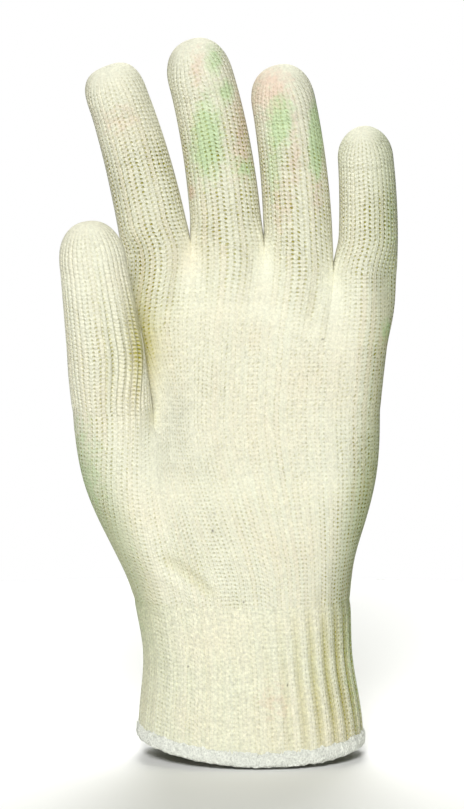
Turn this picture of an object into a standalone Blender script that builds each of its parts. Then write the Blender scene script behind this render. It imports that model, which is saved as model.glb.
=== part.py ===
"""A seamless knitted glove liner in the form it has on a hand: fingers up, palm to -Y, thumb to -X.

The knit is one tube of columns that rises from the cuff and splits, first into thumb and palm,
then into four fingers. Rings of points are lofted into skins, and each skin is thickened inwards,
so every section is a wall with the hollow that the hand goes into.
Sizes are in millimetres and angles in degrees. The origin is the middle of the opening for the
hand, in the plane that the hem's lower edge lies in.
"""

from collections import namedtuple
from math import cos, pi, radians, sin

import bmesh
import bpy
import numpy as np

MM = 0.001

# Walls and clearances
WALL = 1.6
CUFF_WALL = 2.0
GAP = 0.3
ROOT_GAP = 0.6  # straight up, below the roots of the fingers, which slope

# Hem, an overlocked edge round the cuff's lower rim. It hangs lowest in front and at the back.
HEM_HEIGHT = 4.0
HEM_THICKNESS = 3.4
HEM_DROOP = 4.5
HEM_LOWEST = 0.15  # where it hangs lowest, as a share of the half-width, towards the little finger

# Cuff
CUFF_HEIGHT = 48.2
CUFF_WIDTH = 76.4
CUFF_DEPTH = 53.0
WRIST_WIDTH = 71.2
WRIST_DEPTH = 47.0
RIB_COUNT = 37
RIB_RELIEF = 1.1
RIB_FADE = 0.35  # the share of the relief that is left at the cuff's two rims
INNER_RELIEF = 0.5  # the relief inside, as a share of the outer one
NARROWEST = 0.62  # where the cuff is narrowest, as a share of its height

# Palm, from the cuff's upper rim to the crotch of the thumb, and on to the crotches of the fingers
HEEL_LENGTH = 64.0
PALM_LENGTH = 56.5
PALM_DEPTH = 31.0
KNUCKLE_WIDTH = 92.1
KNUCKLE_DEPTH = 23.5
KNUCKLE_SIDE_BULGE = 3.0  # how far the outer sides of the first and last finger's roots bow out

MIDDLE_FINGER_LENGTH = 70.5

# Thumb
THUMB_WIDTH = 27.0
THUMB_DEPTH = 24.0
THUMB_LENGTH = 67.0
THUMB_FOLD = 0.7

JOINT_DIP = 0.5  # how far the skin dips in at the bend of a joint

# Columns of the skins: across the front of one finger, across the thumb, and on each narrow side
FINGER_COLUMNS = 6
THUMB_COLUMNS = 10
SIDE_COLUMNS = 3
COLUMNS_PER_RIB = 2

# root is the share of the knuckles' width that a finger takes, tube the width of the tube above the
# root as a share of the root's, and length a share of the middle finger's.
Finger = namedtuple("Finger", "name root tube length pose")
# tip is the share of the width that is left where the tip begins to round off. lean is the tilt
# towards the thumb at the root and at the tip, and the bends are the forward tilts of the three
# bones. rounding is the share of the length over which the root becomes round, and square how full
# the tip is.
Pose = namedtuple("Pose", "tip lean lean_tip bend_1 bend_2 bend_3 rounding square")
FINGERS = (
    Finger("index_finger", 0.249, 1.00, 0.908, Pose(0.87, 10.0, 19.5, 5.0, 14.0, 24.0, 0.16, 3.0)),
    Finger("middle_finger", 0.267, 0.96, 1.0, Pose(0.91, 3.0, 17.5, 5.0, 14.0, 24.0, 0.16, 2.3)),
    Finger("ring_finger", 0.253, 0.985, 0.936, Pose(0.91, 0.8, 13.0, 5.0, 15.0, 26.0, 0.16, 2.3)),
    Finger("little_finger", 0.231, 0.935, 0.709, Pose(0.91, -3.5, 8.5, 4.0, 12.0, 22.0, 0.16, 1.9)),
)
THUMB_POSE = Pose(0.80, 5.0, 8.5, 19.0, 15.0, 8.0, 0.40, 2.3)
TAPER_POWER = 1.4

# Where the skin leaves the palm, as shares of the palm's length, from the thumb side outwards:
# beside the index finger, at the three crotches, and beside the little finger.
CROTCH_HEIGHTS = (0.935, 1.0, 0.985, 0.84, 0.80)
KNUCKLES_TO_THUMB_SIDE = 0.469  # share of their width on the thumb's side of the origin
CROTCH_DEPTH = 0.42  # depth of the web between two fingers, as a share of the knuckles' depth

# The hand's outline below the crotch of the thumb. level is a share of the heel's length, left and
# right are shares of the knuckles' width, deep is a share of the palm's depth, and forward a share
# of it that the middle of the section lies in front of the wrist.
Heel = namedtuple("Heel", "level left right deep forward square")
HEEL = (
    Heel(0.00, -0.429, 0.364, 1.50, 0.00, 2.3),
    Heel(0.10, -0.452, 0.370, 1.50, 0.03, 2.3),
    Heel(0.25, -0.492, 0.380, 1.48, 0.08, 2.4),
    Heel(0.45, -0.545, 0.404, 1.42, 0.14, 2.4),
    Heel(0.70, -0.608, 0.438, 1.34, 0.18, 2.5),
    Heel(1.00, -0.655, 0.473, 1.20, 0.18, 2.6),
)

# The palm above the crotch of the thumb, in the same shares; level is a share of the palm's length.
Palm = namedtuple("Palm", "level left right deep square")
PALM = (
    Palm(0.0, -0.474, 0.473, 1.00, 2.6),
    Palm(0.3, -0.472, 0.488, 0.98, 2.7),
    Palm(0.6, -0.470, 0.505, 0.93, 2.8),
    Palm(1.0, -0.469, 0.531, 0.86, 2.9),
)

# The root of the thumb. Its middle is given in shares of the knuckles' width and the palm's depth,
# and the web that ties it to the palm runs between two angles of its oval, the far side being 0.
THUMB_ROOT_X = -0.498
THUMB_ROOT_Y = -0.40
WEB_FRONT_ANGLE = -12.0
WEB_BACK_ANGLE = 98.0
THUMB_ROOT_SLOPE = 0.05  # how fast the root of the thumb runs in towards the wrist, going down

# Where rings of points are laid, as shares of each length
HEEL_ROWS = (0.0, 0.09, 0.22, 0.38, 0.55, 0.72, 0.88, 1.0)
PALM_ROWS = (0.0, 0.14, 0.34, 0.56, 0.74, 0.88, 1.0)
FINGER_ROWS = (0.0, 0.07, 0.16, 0.29, 0.42, 0.47, 0.52, 0.66, 0.79)
THUMB_ROWS = (0.0, 0.07, 0.16, 0.28, 0.42, 0.51, 0.64, 0.77)
DOME_ROWS = (0.36, 0.64, 0.85, 0.97)
CUFF_ROWS = (0.0, 0.13, 0.32, 0.55, 0.8, 1.0)

FIRST_BEND, SECOND_BEND = 0.47, 0.74  # where a finger's joints are, as shares of its length
BEND_REACH = 0.10  # half of the length over which a joint turns
JOINT_REACH = 0.035  # half of the length over which the skin dips at a joint
FOLD_LEVEL, FOLD_REACH = 0.12, 0.22  # where the thumb's puckers are deepest, and how far they run
FORK_START = 0.12  # the share of the heel's length at which thumb and palm begin to part
SCALLOP_REACH = 0.55  # the length of palm over which the roots of the fingers fade
WEB_REACH = 0.6  # the length of palm over which the web of the thumb fades
PULL_COLUMNS = 8  # the columns of the palm that the web draws towards it

# How full the ovals are: 2 is an ellipse, more is squarer
FINGER_SQUARE = 2.15
CUFF_SQUARE = 2.3
DOME_DEPTH_SQUARE = 2.0
HEM_SQUARE = 2.9

FINE_STEPS = 120  # the steps of a curve before its points are spaced evenly
HEM_SIDES = 6
SHARP_ANGLE = 55.0

OUTWARD = np.array((1.0, 0.0, 0.0))  # from the thumb's side to the little finger's
BACK = np.array((0.0, 1.0, 0.0))
UP = np.array((0.0, 0.0, 1.0))

HEEL_BOTTOM = HEM_HEIGHT + GAP + CUFF_HEIGHT + GAP
THUMB_LEVEL = HEEL_BOTTOM + HEEL_LENGTH
PALM_COLUMNS = len(FINGERS) * FINGER_COLUMNS

KNIT = ("knit", (0.86, 0.83, 0.66, 1.0), 0.95)
CUFF_KNIT = ("cuff_knit", (0.84, 0.82, 0.67, 1.0), 0.95)
EDGE_THREAD = ("edge_thread", (0.90, 0.90, 0.84, 1.0), 0.9)


def eased(share):
    share = np.clip(share, 0.0, 1.0)
    return share * share * (3 - 2 * share)


def read_table(rows, level, column):
    return np.interp(level, [row.level for row in rows], [getattr(row, column) for row in rows])


def points_along(line, shares):
    """The points at these shares of a line's length."""
    steps = np.linalg.norm(np.diff(line, axis=0), axis=1)
    run = np.concatenate(([0.0], np.cumsum(steps)))
    return np.stack([np.interp(np.asarray(shares) * run[-1], run, axis) for axis in line.T], axis=1)


def bowed(start, end, bow, columns):
    """Evenly spaced points from start, short of end, on a line that bows out."""
    share = np.linspace(0, 1, FINE_STEPS)[:, None]
    line = start + (end - start) * share + bow * np.sin(pi * share)
    return points_along(line, np.arange(columns) / columns)


def powered(value, power):
    return np.sign(value) * np.abs(value) ** power


def oval_ring(centre, across, back, half_width, half_depth, square, front, side):
    """Evenly spaced points round an oval: front, far side, back, then the thumb's side."""
    turn = np.linspace(pi, 3 * pi, 4 * FINE_STEPS)
    flat = powered(np.cos(turn), 2 / square) * half_width
    fore = powered(np.sin(turn), 2 / square) * half_depth
    line = centre + flat[:, None] * across + fore[:, None] * back
    count = 2 * front + 2 * side
    return points_along(line, (np.arange(count) + side / 2) / count)


def level_oval(x, y, z, half_width, half_depth, square, front, side=SIDE_COLUMNS):
    return oval_ring(np.array((x, y, z)), OUTWARD, BACK, half_width, half_depth, square, front, side)


def turned(start, end, reach, at, share):
    return start + (end - start) * eased((share - at + reach) / (2 * reach))


def bone_line(pose, length, root):
    """Middle points of a finger from its root to its tip, and the directions there."""
    share = np.linspace(0, 1, FINE_STEPS)
    lean = np.radians(pose.lean + (pose.lean_tip - pose.lean) * share)
    bend = turned(pose.bend_1, pose.bend_2, BEND_REACH, FIRST_BEND, share)
    bend = np.radians(turned(bend, pose.bend_3, BEND_REACH, SECOND_BEND, share))
    way = np.stack([-np.sin(lean), -np.cos(lean) * np.sin(bend), np.cos(lean) * np.cos(bend)], axis=1)
    steps = (way[1:] + way[:-1]) / 2 * length / (FINE_STEPS - 1)
    return share, root + np.concatenate((np.zeros((1, 3)), np.cumsum(steps, axis=0))), way


def stations_of(rows):
    """The rows of a finger up to where its tip begins to round off, and those of the tip."""
    return [*rows, *(rows[-1] + (1 - rows[-1]) * row for row in DOME_ROWS)]


def rounded_off(share, square):
    return (1 - share**square) ** (1 / square)


def finger_skin(pose, width, depth, length, root_ring, root, front, rows):
    """Rings from the root to the rounded tip. The first is root_ring, which the palm ends in."""
    share, middles, ways = bone_line(pose, length, root)
    rings = []
    for station in stations_of(rows):
        centre = np.array([np.interp(station, share, axis) for axis in middles.T])
        way = np.array([np.interp(station, share, axis) for axis in ways.T])
        across = np.cross(BACK, way)
        across /= np.linalg.norm(across)
        narrow = 1 + (pose.tip - 1) * min(1.0, station / rows[-1]) ** TAPER_POWER
        dome = max(0.0, (station - rows[-1]) / (1 - rows[-1]))
        half_width = width / 2 * narrow * rounded_off(dome, pose.square) - GAP / 2
        half_depth = depth / 2 * narrow * rounded_off(dome, DOME_DEPTH_SQUARE)
        for bend in (FIRST_BEND, SECOND_BEND):
            half_depth -= JOINT_DIP * max(0.0, 1 - abs(station - bend) / JOINT_REACH)
        tube = oval_ring(
            centre, across, np.cross(way, across), half_width, half_depth, FINGER_SQUARE, front, SIDE_COLUMNS
        )
        own = eased(station / pose.rounding)
        rings.append(tube * own + (root_ring + way * station * length) * (1 - own))
    rings[0] = rings[0] + UP * ROOT_GAP
    return np.array(rings)


def crotches():
    """The points between the fingers on the knuckle line, from the thumb side outwards."""
    x = -KNUCKLES_TO_THUMB_SIDE * KNUCKLE_WIDTH
    points = []
    for finger, height in zip((*FINGERS, None), CROTCH_HEIGHTS):
        points.append(np.array((x, 0.0, THUMB_LEVEL + height * PALM_LENGTH)))
        x += finger.root * KNUCKLE_WIDTH if finger else 0.0
    return points


def root_ring(position):
    """The ring that the palm and the finger at this position share, and its middle."""
    points = crotches()
    near, far = points[position], points[position + 1]
    middle = (near + far) / 2
    if position == len(FINGERS) - 1:
        middle[0] += (far - near)[0] * (1 - FINGERS[position].tube) / 2
    web = -BACK * CROTCH_DEPTH * KNUCKLE_DEPTH / 2
    bow = -BACK * KNUCKLE_DEPTH / 2 - web
    near_bow = -OUTWARD * KNUCKLE_SIDE_BULGE * (position == 0)
    far_bow = OUTWARD * KNUCKLE_SIDE_BULGE * (position == len(FINGERS) - 1)
    near, far = near - near_bow, far - far_bow
    ring = (
        bowed(near + web, far + web, bow, FINGER_COLUMNS),
        bowed(far + web, far - web, far_bow, SIDE_COLUMNS),
        bowed(far - web, near - web, -bow, FINGER_COLUMNS),
        bowed(near - web, near + web, near_bow, SIDE_COLUMNS),
    )
    return np.concatenate(ring), middle


def knuckle_ring():
    """The ring that the palm ends in: the fronts of the four roots, the far side, and the backs."""
    rings = [root_ring(position)[0] for position in range(len(FINGERS))]
    fronts = [ring[:FINGER_COLUMNS] for ring in rings]
    side = rings[-1][FINGER_COLUMNS : FINGER_COLUMNS + SIDE_COLUMNS]
    start = FINGER_COLUMNS + SIDE_COLUMNS
    backs = [ring[start : start + FINGER_COLUMNS] for ring in reversed(rings)]
    return np.concatenate((*fronts, side, *backs, rings[0][-SIDE_COLUMNS:]))


def palm_ring(level):
    left, right, deep, square = (read_table(PALM, level, name) for name in Palm._fields[1:])
    x, half_width = (left + right) / 2 * KNUCKLE_WIDTH, (right - left) / 2 * KNUCKLE_WIDTH
    height = THUMB_LEVEL + level * PALM_LENGTH
    return level_oval(x, 0.0, height, half_width, deep / 2 * PALM_DEPTH, square, PALM_COLUMNS)


def on_thumb_root(angle):
    """The point of the thumb's root at an angle in degrees, from the far side round the back."""
    flat, fore = cos(radians(angle)), sin(radians(angle))
    reach = (abs(flat) ** FINGER_SQUARE + abs(fore) ** FINGER_SQUARE) ** (-1 / FINGER_SQUARE)
    return thumb_middle() + reach * (flat * THUMB_WIDTH * OUTWARD + fore * THUMB_DEPTH * BACK) / 2


def thumb_middle():
    return np.array((THUMB_ROOT_X * KNUCKLE_WIDTH, THUMB_ROOT_Y * PALM_DEPTH, THUMB_LEVEL))


def thumb_web():
    """Points along the web between thumb and palm, from its front end to its back end."""
    front, back = on_thumb_root(WEB_FRONT_ANGLE), on_thumb_root(WEB_BACK_ANGLE)
    return front + (back - front) * (np.arange(SIDE_COLUMNS + 1) / SIDE_COLUMNS)[:, None]


def thumb_root():
    """The ring that the palm and the thumb share."""
    angles = np.linspace(WEB_BACK_ANGLE, 360 + WEB_FRONT_ANGLE, 4 * FINE_STEPS)
    line = np.array([on_thumb_root(angle) for angle in angles])
    free_columns = 2 * THUMB_COLUMNS + SIDE_COLUMNS
    free = points_along(line, np.arange(free_columns) / free_columns)
    return np.concatenate((free[-THUMB_COLUMNS:], thumb_web()[:-1], free[:-THUMB_COLUMNS]))


def thumb_folds(ring, level):
    """Puckers that gather the columns of the knit beside the crotch of the thumb."""
    columns = np.arange(THUMB_COLUMNS // 2, THUMB_COLUMNS - 1)
    height = THUMB_FOLD * np.exp(-(((level - FOLD_LEVEL) / FOLD_REACH) ** 2))
    ring[columns] -= BACK * height * np.where(columns % 2, 1.0, -1.0)[:, None]
    return ring


def forked_ring():
    """The ring at the crotch of the thumb: the thumb's front, the palm, and the thumb's back."""
    thumb = thumb_folds(thumb_root(), 0.0)
    palm = upper_palm_rings((0.0,))[0]
    back = THUMB_COLUMNS + SIDE_COLUMNS
    return np.concatenate((thumb[:THUMB_COLUMNS], palm[:-SIDE_COLUMNS], thumb[back:]))


def upper_palm_rings(rows):
    """Rings from the crotch of the thumb to the knuckle line."""
    goal = knuckle_ring()
    web_pull = pull_to_web(palm_ring(0.0))
    rings = []
    for row in rows:
        height = THUMB_LEVEL + (goal[:, 2] - THUMB_LEVEL) * row
        own = eased((row - 1 + SCALLOP_REACH) / SCALLOP_REACH)
        ring = palm_ring(row) * (1 - own) + goal * own + web_pull * (1 - eased(row / WEB_REACH))
        ring[:, 2] = height
        rings.append(ring)
    return np.array(rings)


def pull_to_web(ring):
    """The moves that lay a palm ring's thumb side along the web, fading out round the palm."""
    web = thumb_web()
    count = len(ring)
    back = count - SIDE_COLUMNS
    columns = np.arange(count)
    front_share = np.clip(1 - columns / PULL_COLUMNS, 0, 1)[:, None]
    back_share = np.clip(1 - (back - columns) / PULL_COLUMNS, 0, 1)[:, None] * (columns <= back)[:, None]
    pull = (web[0] - ring[0]) * front_share + (web[-1] - ring[back]) * back_share
    for step in range(1, SIDE_COLUMNS):
        pull[back + step] = web[SIDE_COLUMNS - step] - ring[back + step]
    return pull


def heel_rings(rows):
    """Rings from the cuff to the crotch of the thumb, where thumb and palm are one tube."""
    fork = forked_ring()
    thumb_share = np.zeros(len(fork))
    thumb_share[:THUMB_COLUMNS] = 1.0
    thumb_share[-THUMB_COLUMNS - SIDE_COLUMNS :] = 1.0
    rings = []
    for row in rows:
        left, right, deep, forward, square = (read_table(HEEL, row, name) for name in Heel._fields[1:])
        x, half_width = (left + right) / 2 * KNUCKLE_WIDTH, (right - left) / 2 * KNUCKLE_WIDTH
        y, half_depth = -forward * PALM_DEPTH, deep / 2 * PALM_DEPTH
        height = HEEL_BOTTOM + row * HEEL_LENGTH
        smooth = level_oval(x, y, height, half_width, half_depth, square, THUMB_COLUMNS + PALM_COLUMNS)
        lobed = fork.copy()
        lobed[:, 0] += thumb_share * THUMB_ROOT_SLOPE * (1 - row) * HEEL_LENGTH
        lobed[:, 2] = height
        own = eased((row - FORK_START) / (1 - FORK_START))
        rings.append(smooth * (1 - own) + lobed * own)
    return np.array(rings)


def hem_droop(ring):
    """How much higher than its lowest point the hem lies below each point of a ring."""
    x = ring[:, 0] - ring[:, 0].mean()
    return HEM_DROOP * (x / np.abs(x).max() - HEM_LOWEST) ** 2


def cuff_rings(inner):
    """Rings of the ribbed cuff, from the hem up: its outer face, or its inner one."""
    heel = heel_rings((0.0,))[0]
    low, high = heel.min(axis=0), heel.max(axis=0)
    inset = CUFF_WALL if inner else 0.0
    rings = []
    for row in CUFF_ROWS:
        rise, top = eased(row / NARROWEST), eased((row - NARROWEST) / (1 - NARROWEST))
        width = CUFF_WIDTH + (WRIST_WIDTH - CUFF_WIDTH) * rise
        depth = CUFF_DEPTH + (WRIST_DEPTH - CUFF_DEPTH) * rise
        width += (high[0] - low[0] - width) * top
        depth += (high[1] - low[1] - depth) * top
        x = (high[0] + low[0]) / 2 * row**2
        z = HEM_HEIGHT + GAP + row * CUFF_HEIGHT
        columns = RIB_COUNT * COLUMNS_PER_RIB // 2
        ring = level_oval(x, 0.0, z, width / 2 - inset, depth / 2 - inset, CUFF_SQUARE, columns, 0)
        outward = ring - np.array((x, 0.0, z))
        outward /= np.linalg.norm(outward, axis=1)[:, None]
        ring[:, 2] += hem_droop(ring) * (1 - row)
        relief = RIB_RELIEF * (RIB_FADE + (1 - RIB_FADE) * sin(pi * row)) * (INNER_RELIEF if inner else 1.0)
        valley = (1 - np.cos(2 * pi * np.arange(len(ring)) / COLUMNS_PER_RIB)) / 2
        rings.append(ring - outward * (valley * relief)[:, None])
    return rings


def material_of(look):
    name, colour, roughness = look
    material = bpy.data.materials.get(name)
    if material is None:
        material = bpy.data.materials.new(name)
        material.use_nodes = True
        shader = material.node_tree.nodes["Principled BSDF"]
        shader.inputs["Base Color"].default_value = colour
        shader.inputs["Roughness"].default_value = roughness
        shader.inputs["Metallic"].default_value = 0.0
    return material


def add_object(name, mesh_maker, look):
    mesh = bpy.data.meshes.new(name)
    mesh_maker.to_mesh(mesh)
    mesh_maker.free()
    mesh.shade_smooth()
    mesh.set_sharp_from_angle(angle=radians(SHARP_ANGLE))
    mesh.materials.append(material_of(look))
    shape = bpy.data.objects.new(name, mesh)
    bpy.context.scene.collection.objects.link(shape)
    return shape


def add_rows(mesh_maker, rings):
    return [[mesh_maker.verts.new(point * MM) for point in ring] for ring in rings]


def join_rows(mesh_maker, rows):
    """Faces between each row of vertices and the next, looking outwards where the rows go up."""
    for low, high in zip(rows, rows[1:]):
        for here in range(len(low)):
            after = (here + 1) % len(low)
            mesh_maker.faces.new((low[here], low[after], high[after], high[here]))


def thicken(mesh_maker, wall):
    """Adds the inner face of the skin, and the rims where the skin is open."""
    mesh_maker.normal_update()
    skin = list(mesh_maker.faces)
    rims = [edge for edge in mesh_maker.edges if edge.is_boundary]
    inner = {}
    for point in list(mesh_maker.verts):
        outward = point.normal.copy()
        if point.is_boundary:
            outward.z = 0.0
            outward.normalize()
        inner[point] = mesh_maker.verts.new(point.co - outward * wall * MM)
    for face in skin:
        mesh_maker.faces.new([inner[point] for point in reversed(face.verts)])
    for edge in rims:
        loop = edge.link_loops[0]
        start, end = loop.vert, loop.link_loop_next.vert
        mesh_maker.faces.new((end, start, inner[start], inner[end]))


def build_palm():
    mesh_maker = bmesh.new()
    heel = add_rows(mesh_maker, heel_rings(HEEL_ROWS))
    rings = upper_palm_rings(PALM_ROWS)
    web = add_rows(mesh_maker, [rings[0][1 - SIDE_COLUMNS :]])[0]
    fork = heel[-1][THUMB_COLUMNS : THUMB_COLUMNS + len(rings[0]) - len(web)] + web
    join_rows(mesh_maker, heel)
    join_rows(mesh_maker, [fork] + add_rows(mesh_maker, rings[1:]))
    thicken(mesh_maker, WALL)
    return add_object("palm", mesh_maker, KNIT)


def build_tube(name, rings):
    """A finger or the thumb: open at its root, closed at its tip."""
    mesh_maker = bmesh.new()
    rows = add_rows(mesh_maker, rings)
    join_rows(mesh_maker, rows)
    mesh_maker.faces.new(rows[-1])
    thicken(mesh_maker, WALL)
    return add_object(name, mesh_maker, KNIT)


def build_fingers():
    for position, finger in enumerate(FINGERS):
        ring, middle = root_ring(position)
        ring[:, 0] += np.where(ring[:, 0] > middle[0], -GAP / 2, GAP / 2)
        width = finger.root * finger.tube * KNUCKLE_WIDTH
        depth = KNUCKLE_DEPTH * finger.root * finger.tube / (FINGERS[0].root * FINGERS[0].tube)
        length = finger.length * MIDDLE_FINGER_LENGTH
        rings = finger_skin(finger.pose, width, depth, length, ring, middle, FINGER_COLUMNS, FINGER_ROWS)
        build_tube(finger.name, rings)


def build_thumb():
    ring = thumb_root()
    from_web = thumb_middle() - thumb_web()[SIDE_COLUMNS // 2]
    ring[THUMB_COLUMNS : THUMB_COLUMNS + SIDE_COLUMNS + 1] += from_web / np.linalg.norm(from_web) * GAP
    rings = finger_skin(
        THUMB_POSE, THUMB_WIDTH, THUMB_DEPTH, THUMB_LENGTH, ring, thumb_middle(), THUMB_COLUMNS, THUMB_ROWS
    )
    rings = [thumb_folds(ring, station) for ring, station in zip(rings, stations_of(THUMB_ROWS))]
    build_tube("thumb", rings)


def build_cuff():
    mesh_maker = bmesh.new()
    outer = add_rows(mesh_maker, cuff_rings(inner=False))
    inner = add_rows(mesh_maker, cuff_rings(inner=True))
    join_rows(mesh_maker, [outer[0], *outer[1:], *reversed(inner), outer[0]])
    return add_object("cuff", mesh_maker, CUFF_KNIT)


def build_hem():
    """The overlocked edge: a rounded band that follows the cuff's lower rim."""
    half_width, half_depth = (CUFF_WIDTH - CUFF_WALL) / 2, (CUFF_DEPTH - CUFF_WALL) / 2
    rings = []
    for step in range(HEM_SIDES):
        turn = 2 * pi * (step + 0.5) / HEM_SIDES
        swell = powered(cos(turn), 2 / HEM_SQUARE) * HEM_THICKNESS / 2
        z = HEM_HEIGHT / 2 * (1 + sin(turn))
        ring = level_oval(0.0, 0.0, z, half_width + swell, half_depth + swell, CUFF_SQUARE, RIB_COUNT, 0)
        ring[:, 2] += hem_droop(ring)
        rings.append(ring)
    mesh_maker = bmesh.new()
    rows = add_rows(mesh_maker, rings)
    join_rows(mesh_maker, rows + rows[:1])
    return add_object("hem_edging", mesh_maker, EDGE_THREAD)


def main():
    for existing in list(bpy.data.objects):
        bpy.data.objects.remove(existing)
    build_palm()
    build_fingers()
    build_thumb()
    build_cuff()
    build_hem()


main()
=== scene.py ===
"""The look of a seamless knitted glove liner: fine skins over its sections, yarn, floor and light.

The skins follow the same rings of points as the solids, with more columns and rows. Sizes are in
millimetres and angles in degrees. Lights and floor are in metres, and a property in its own unit.
"""

from collections import namedtuple
from math import cos, pi, radians, sin

import bpy
import numpy as np
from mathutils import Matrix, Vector


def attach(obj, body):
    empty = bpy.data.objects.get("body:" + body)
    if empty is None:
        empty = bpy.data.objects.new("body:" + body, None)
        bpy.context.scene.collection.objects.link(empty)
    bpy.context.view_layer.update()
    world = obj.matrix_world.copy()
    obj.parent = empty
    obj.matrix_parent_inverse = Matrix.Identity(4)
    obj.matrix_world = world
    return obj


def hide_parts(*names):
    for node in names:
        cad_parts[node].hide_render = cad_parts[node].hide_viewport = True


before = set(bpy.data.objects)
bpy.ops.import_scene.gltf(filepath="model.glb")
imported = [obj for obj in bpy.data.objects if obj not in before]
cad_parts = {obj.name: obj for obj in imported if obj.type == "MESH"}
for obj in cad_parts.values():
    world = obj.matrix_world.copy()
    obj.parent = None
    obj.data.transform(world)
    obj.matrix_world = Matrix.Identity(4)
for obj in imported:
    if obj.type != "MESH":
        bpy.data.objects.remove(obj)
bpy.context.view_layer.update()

bl_info = {
    "name": "Knitted glove liner",
    "version": (1, 0, 0),
    "blender": (4, 5, 0),
    "location": "View3D > Sidebar > Liner",
    "description": "Builds the knitted skins of a glove liner, their yarn, and a plain stage",
    "category": "Add Mesh",
}

MM = 0.001

# The solids' sizes
WALL = 1.6
CUFF_WALL = 2.0
HEM_HEIGHT, HEM_THICKNESS, HEM_DROOP, HEM_LOWEST = 4.0, 3.4, 4.5, 0.15
HEM_RISE = 1.6  # how many times as far the thread reaches up the cuff as down
SEAM_GAP = 0.3
CUFF_HEIGHT, CUFF_WIDTH, CUFF_DEPTH = 48.2, 76.4, 53.0
WRIST_WIDTH, WRIST_DEPTH, NARROWEST = 71.2, 47.0, 0.62
RIB_RELIEF, RIB_LEAST = 0.8, 0.4  # the least is the share of it towards the thumb's side
RIB_FULL = 28.0  # how far to the right the ribs reach their full relief
RIB_ENDS, RIBS_IN_HEEL = 0.35, 14.0  # the share of it at the cuff's ends, and its reach up the heel
HEEL_LENGTH, PALM_LENGTH, PALM_DEPTH = 64.0, 56.5, 31.0
KNUCKLE_WIDTH, KNUCKLE_DEPTH, KNUCKLE_SIDE_BULGE = 92.1, 23.5, 3.0
MIDDLE_FINGER_LENGTH = 70.5
THUMB_WIDTH, THUMB_DEPTH, THUMB_LENGTH = 27.0, 24.0, 67.0
JOINT_DIP = 0.35

# Columns of the solids' skins, and the points that each has here
COLUMN_POINTS = 8
FINGER_COLUMNS = 6 * COLUMN_POINTS
THUMB_COLUMNS = 10 * COLUMN_POINTS
SIDE_COLUMNS = 3 * COLUMN_POINTS
PULL_COLUMNS = 8 * COLUMN_POINTS

FINGER_WALES, CUFF_WALES = 36, 148  # the wales round a finger, and round the cuff
THUMB_WALES, WEB_WALES = 32, 4  # the wales round the thumb short of its web, and along the web
COURSE = 1.4  # the height of one course of stitches
ROW = COURSE / 2  # two rows of points to a course
STAGGER = 0.5  # how far, in courses, one wale may be out of step with the next
INNER_ROWS = 12  # rows of points to each row of the inner face

# How open the knit is, and how much more open the heel is than the palm
FINGER_OPEN, THUMB_OPEN, PALM_OPEN, CUFF_OPEN, HEEL_MORE_OPEN = 0.47, 0.3, 0.17, 0.1, 0.06

# How far cuff and palm reach to both sides at each level, and how much painted shade darkens the yarn
# there
Side = namedtuple("Side", "level right right_dark left left_dark")
SIDES = (
    Side(4.0, 39.0, 0.1, -38.0, 0.0),
    Side(30.0, 36.0, 0.2, -36.4, 0.25),
    Side(52.0, 33.9, 0.65, -38.6, 0.6),
    Side(80.0, 38.2, 0.9, -48.6, 0.7),
    Side(117.0, 44.8, 0.65, -60.0, 0.0),
    Side(150.0, 48.0, 0.5, -62.0, 0.0),
)

# Features of noise in a metre: for how the yarn wanders and strays, for its fibre and its grain, for
# patches of warmer yarn and of wider gaps, and for the ragged edges of stains
WANDER_NOISE, STRAY_NOISE = 260.0, 900.0
FIBRE_NOISE, GRAIN_NOISE, THREAD_NOISE = 1700.0, 950.0, 1400.0
PATCH_NOISE, WIDTH_NOISE, RAGGED_NOISE = 45.0, 75.0, 420.0
PLAIN_GRAIN, CUFF_GRAIN = 0.42, 0.7  # how much the grain changes the brightness
FINE_WALES = 1.25  # wales of the fine knit to one of the plain knit

# The wraps of the hem's thread, the points along each and round the band, and how they stand up
HEM_WRAPS, WRAP_POINTS, HEM_SIDES = 210, 6, 24
WRAP_SLANT, WRAP_WANDER = 1.6, 0.9  # in wraps, round the band and at random
WRAP_RELIEF, LUMP_HEIGHT, UPPER_LUMPS = 0.05, 0.22, 0.2

Finger = namedtuple("Finger", "name root tube length pose")
Pose = namedtuple("Pose", "tip lean lean_tip bend_1 bend_2 bend_3 rounding square")
FINGERS = (
    Finger("index_finger", 0.249, 1.00, 0.908, Pose(0.87, 10.0, 19.5, 5.0, 14.0, 24.0, 0.16, 3.0)),
    Finger("middle_finger", 0.267, 0.96, 1.0, Pose(0.91, 3.0, 17.5, 5.0, 14.0, 24.0, 0.16, 2.3)),
    Finger("ring_finger", 0.253, 0.985, 0.936, Pose(0.91, 0.8, 13.0, 5.0, 15.0, 26.0, 0.16, 2.3)),
    Finger("little_finger", 0.231, 0.935, 0.709, Pose(0.91, -3.5, 8.5, 4.0, 12.0, 22.0, 0.26, 1.9)),
)
THUMB_POSE = Pose(0.80, 5.0, 8.5, 19.0, 15.0, 8.0, 0.40, 2.3)
TAPER_POWER = 1.4
CROTCH_HEIGHTS = (0.935, 1.0, 0.985, 0.84, 0.80)
KNUCKLES_TO_THUMB_SIDE = 0.469
CROTCH_DEPTH = 0.42

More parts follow.
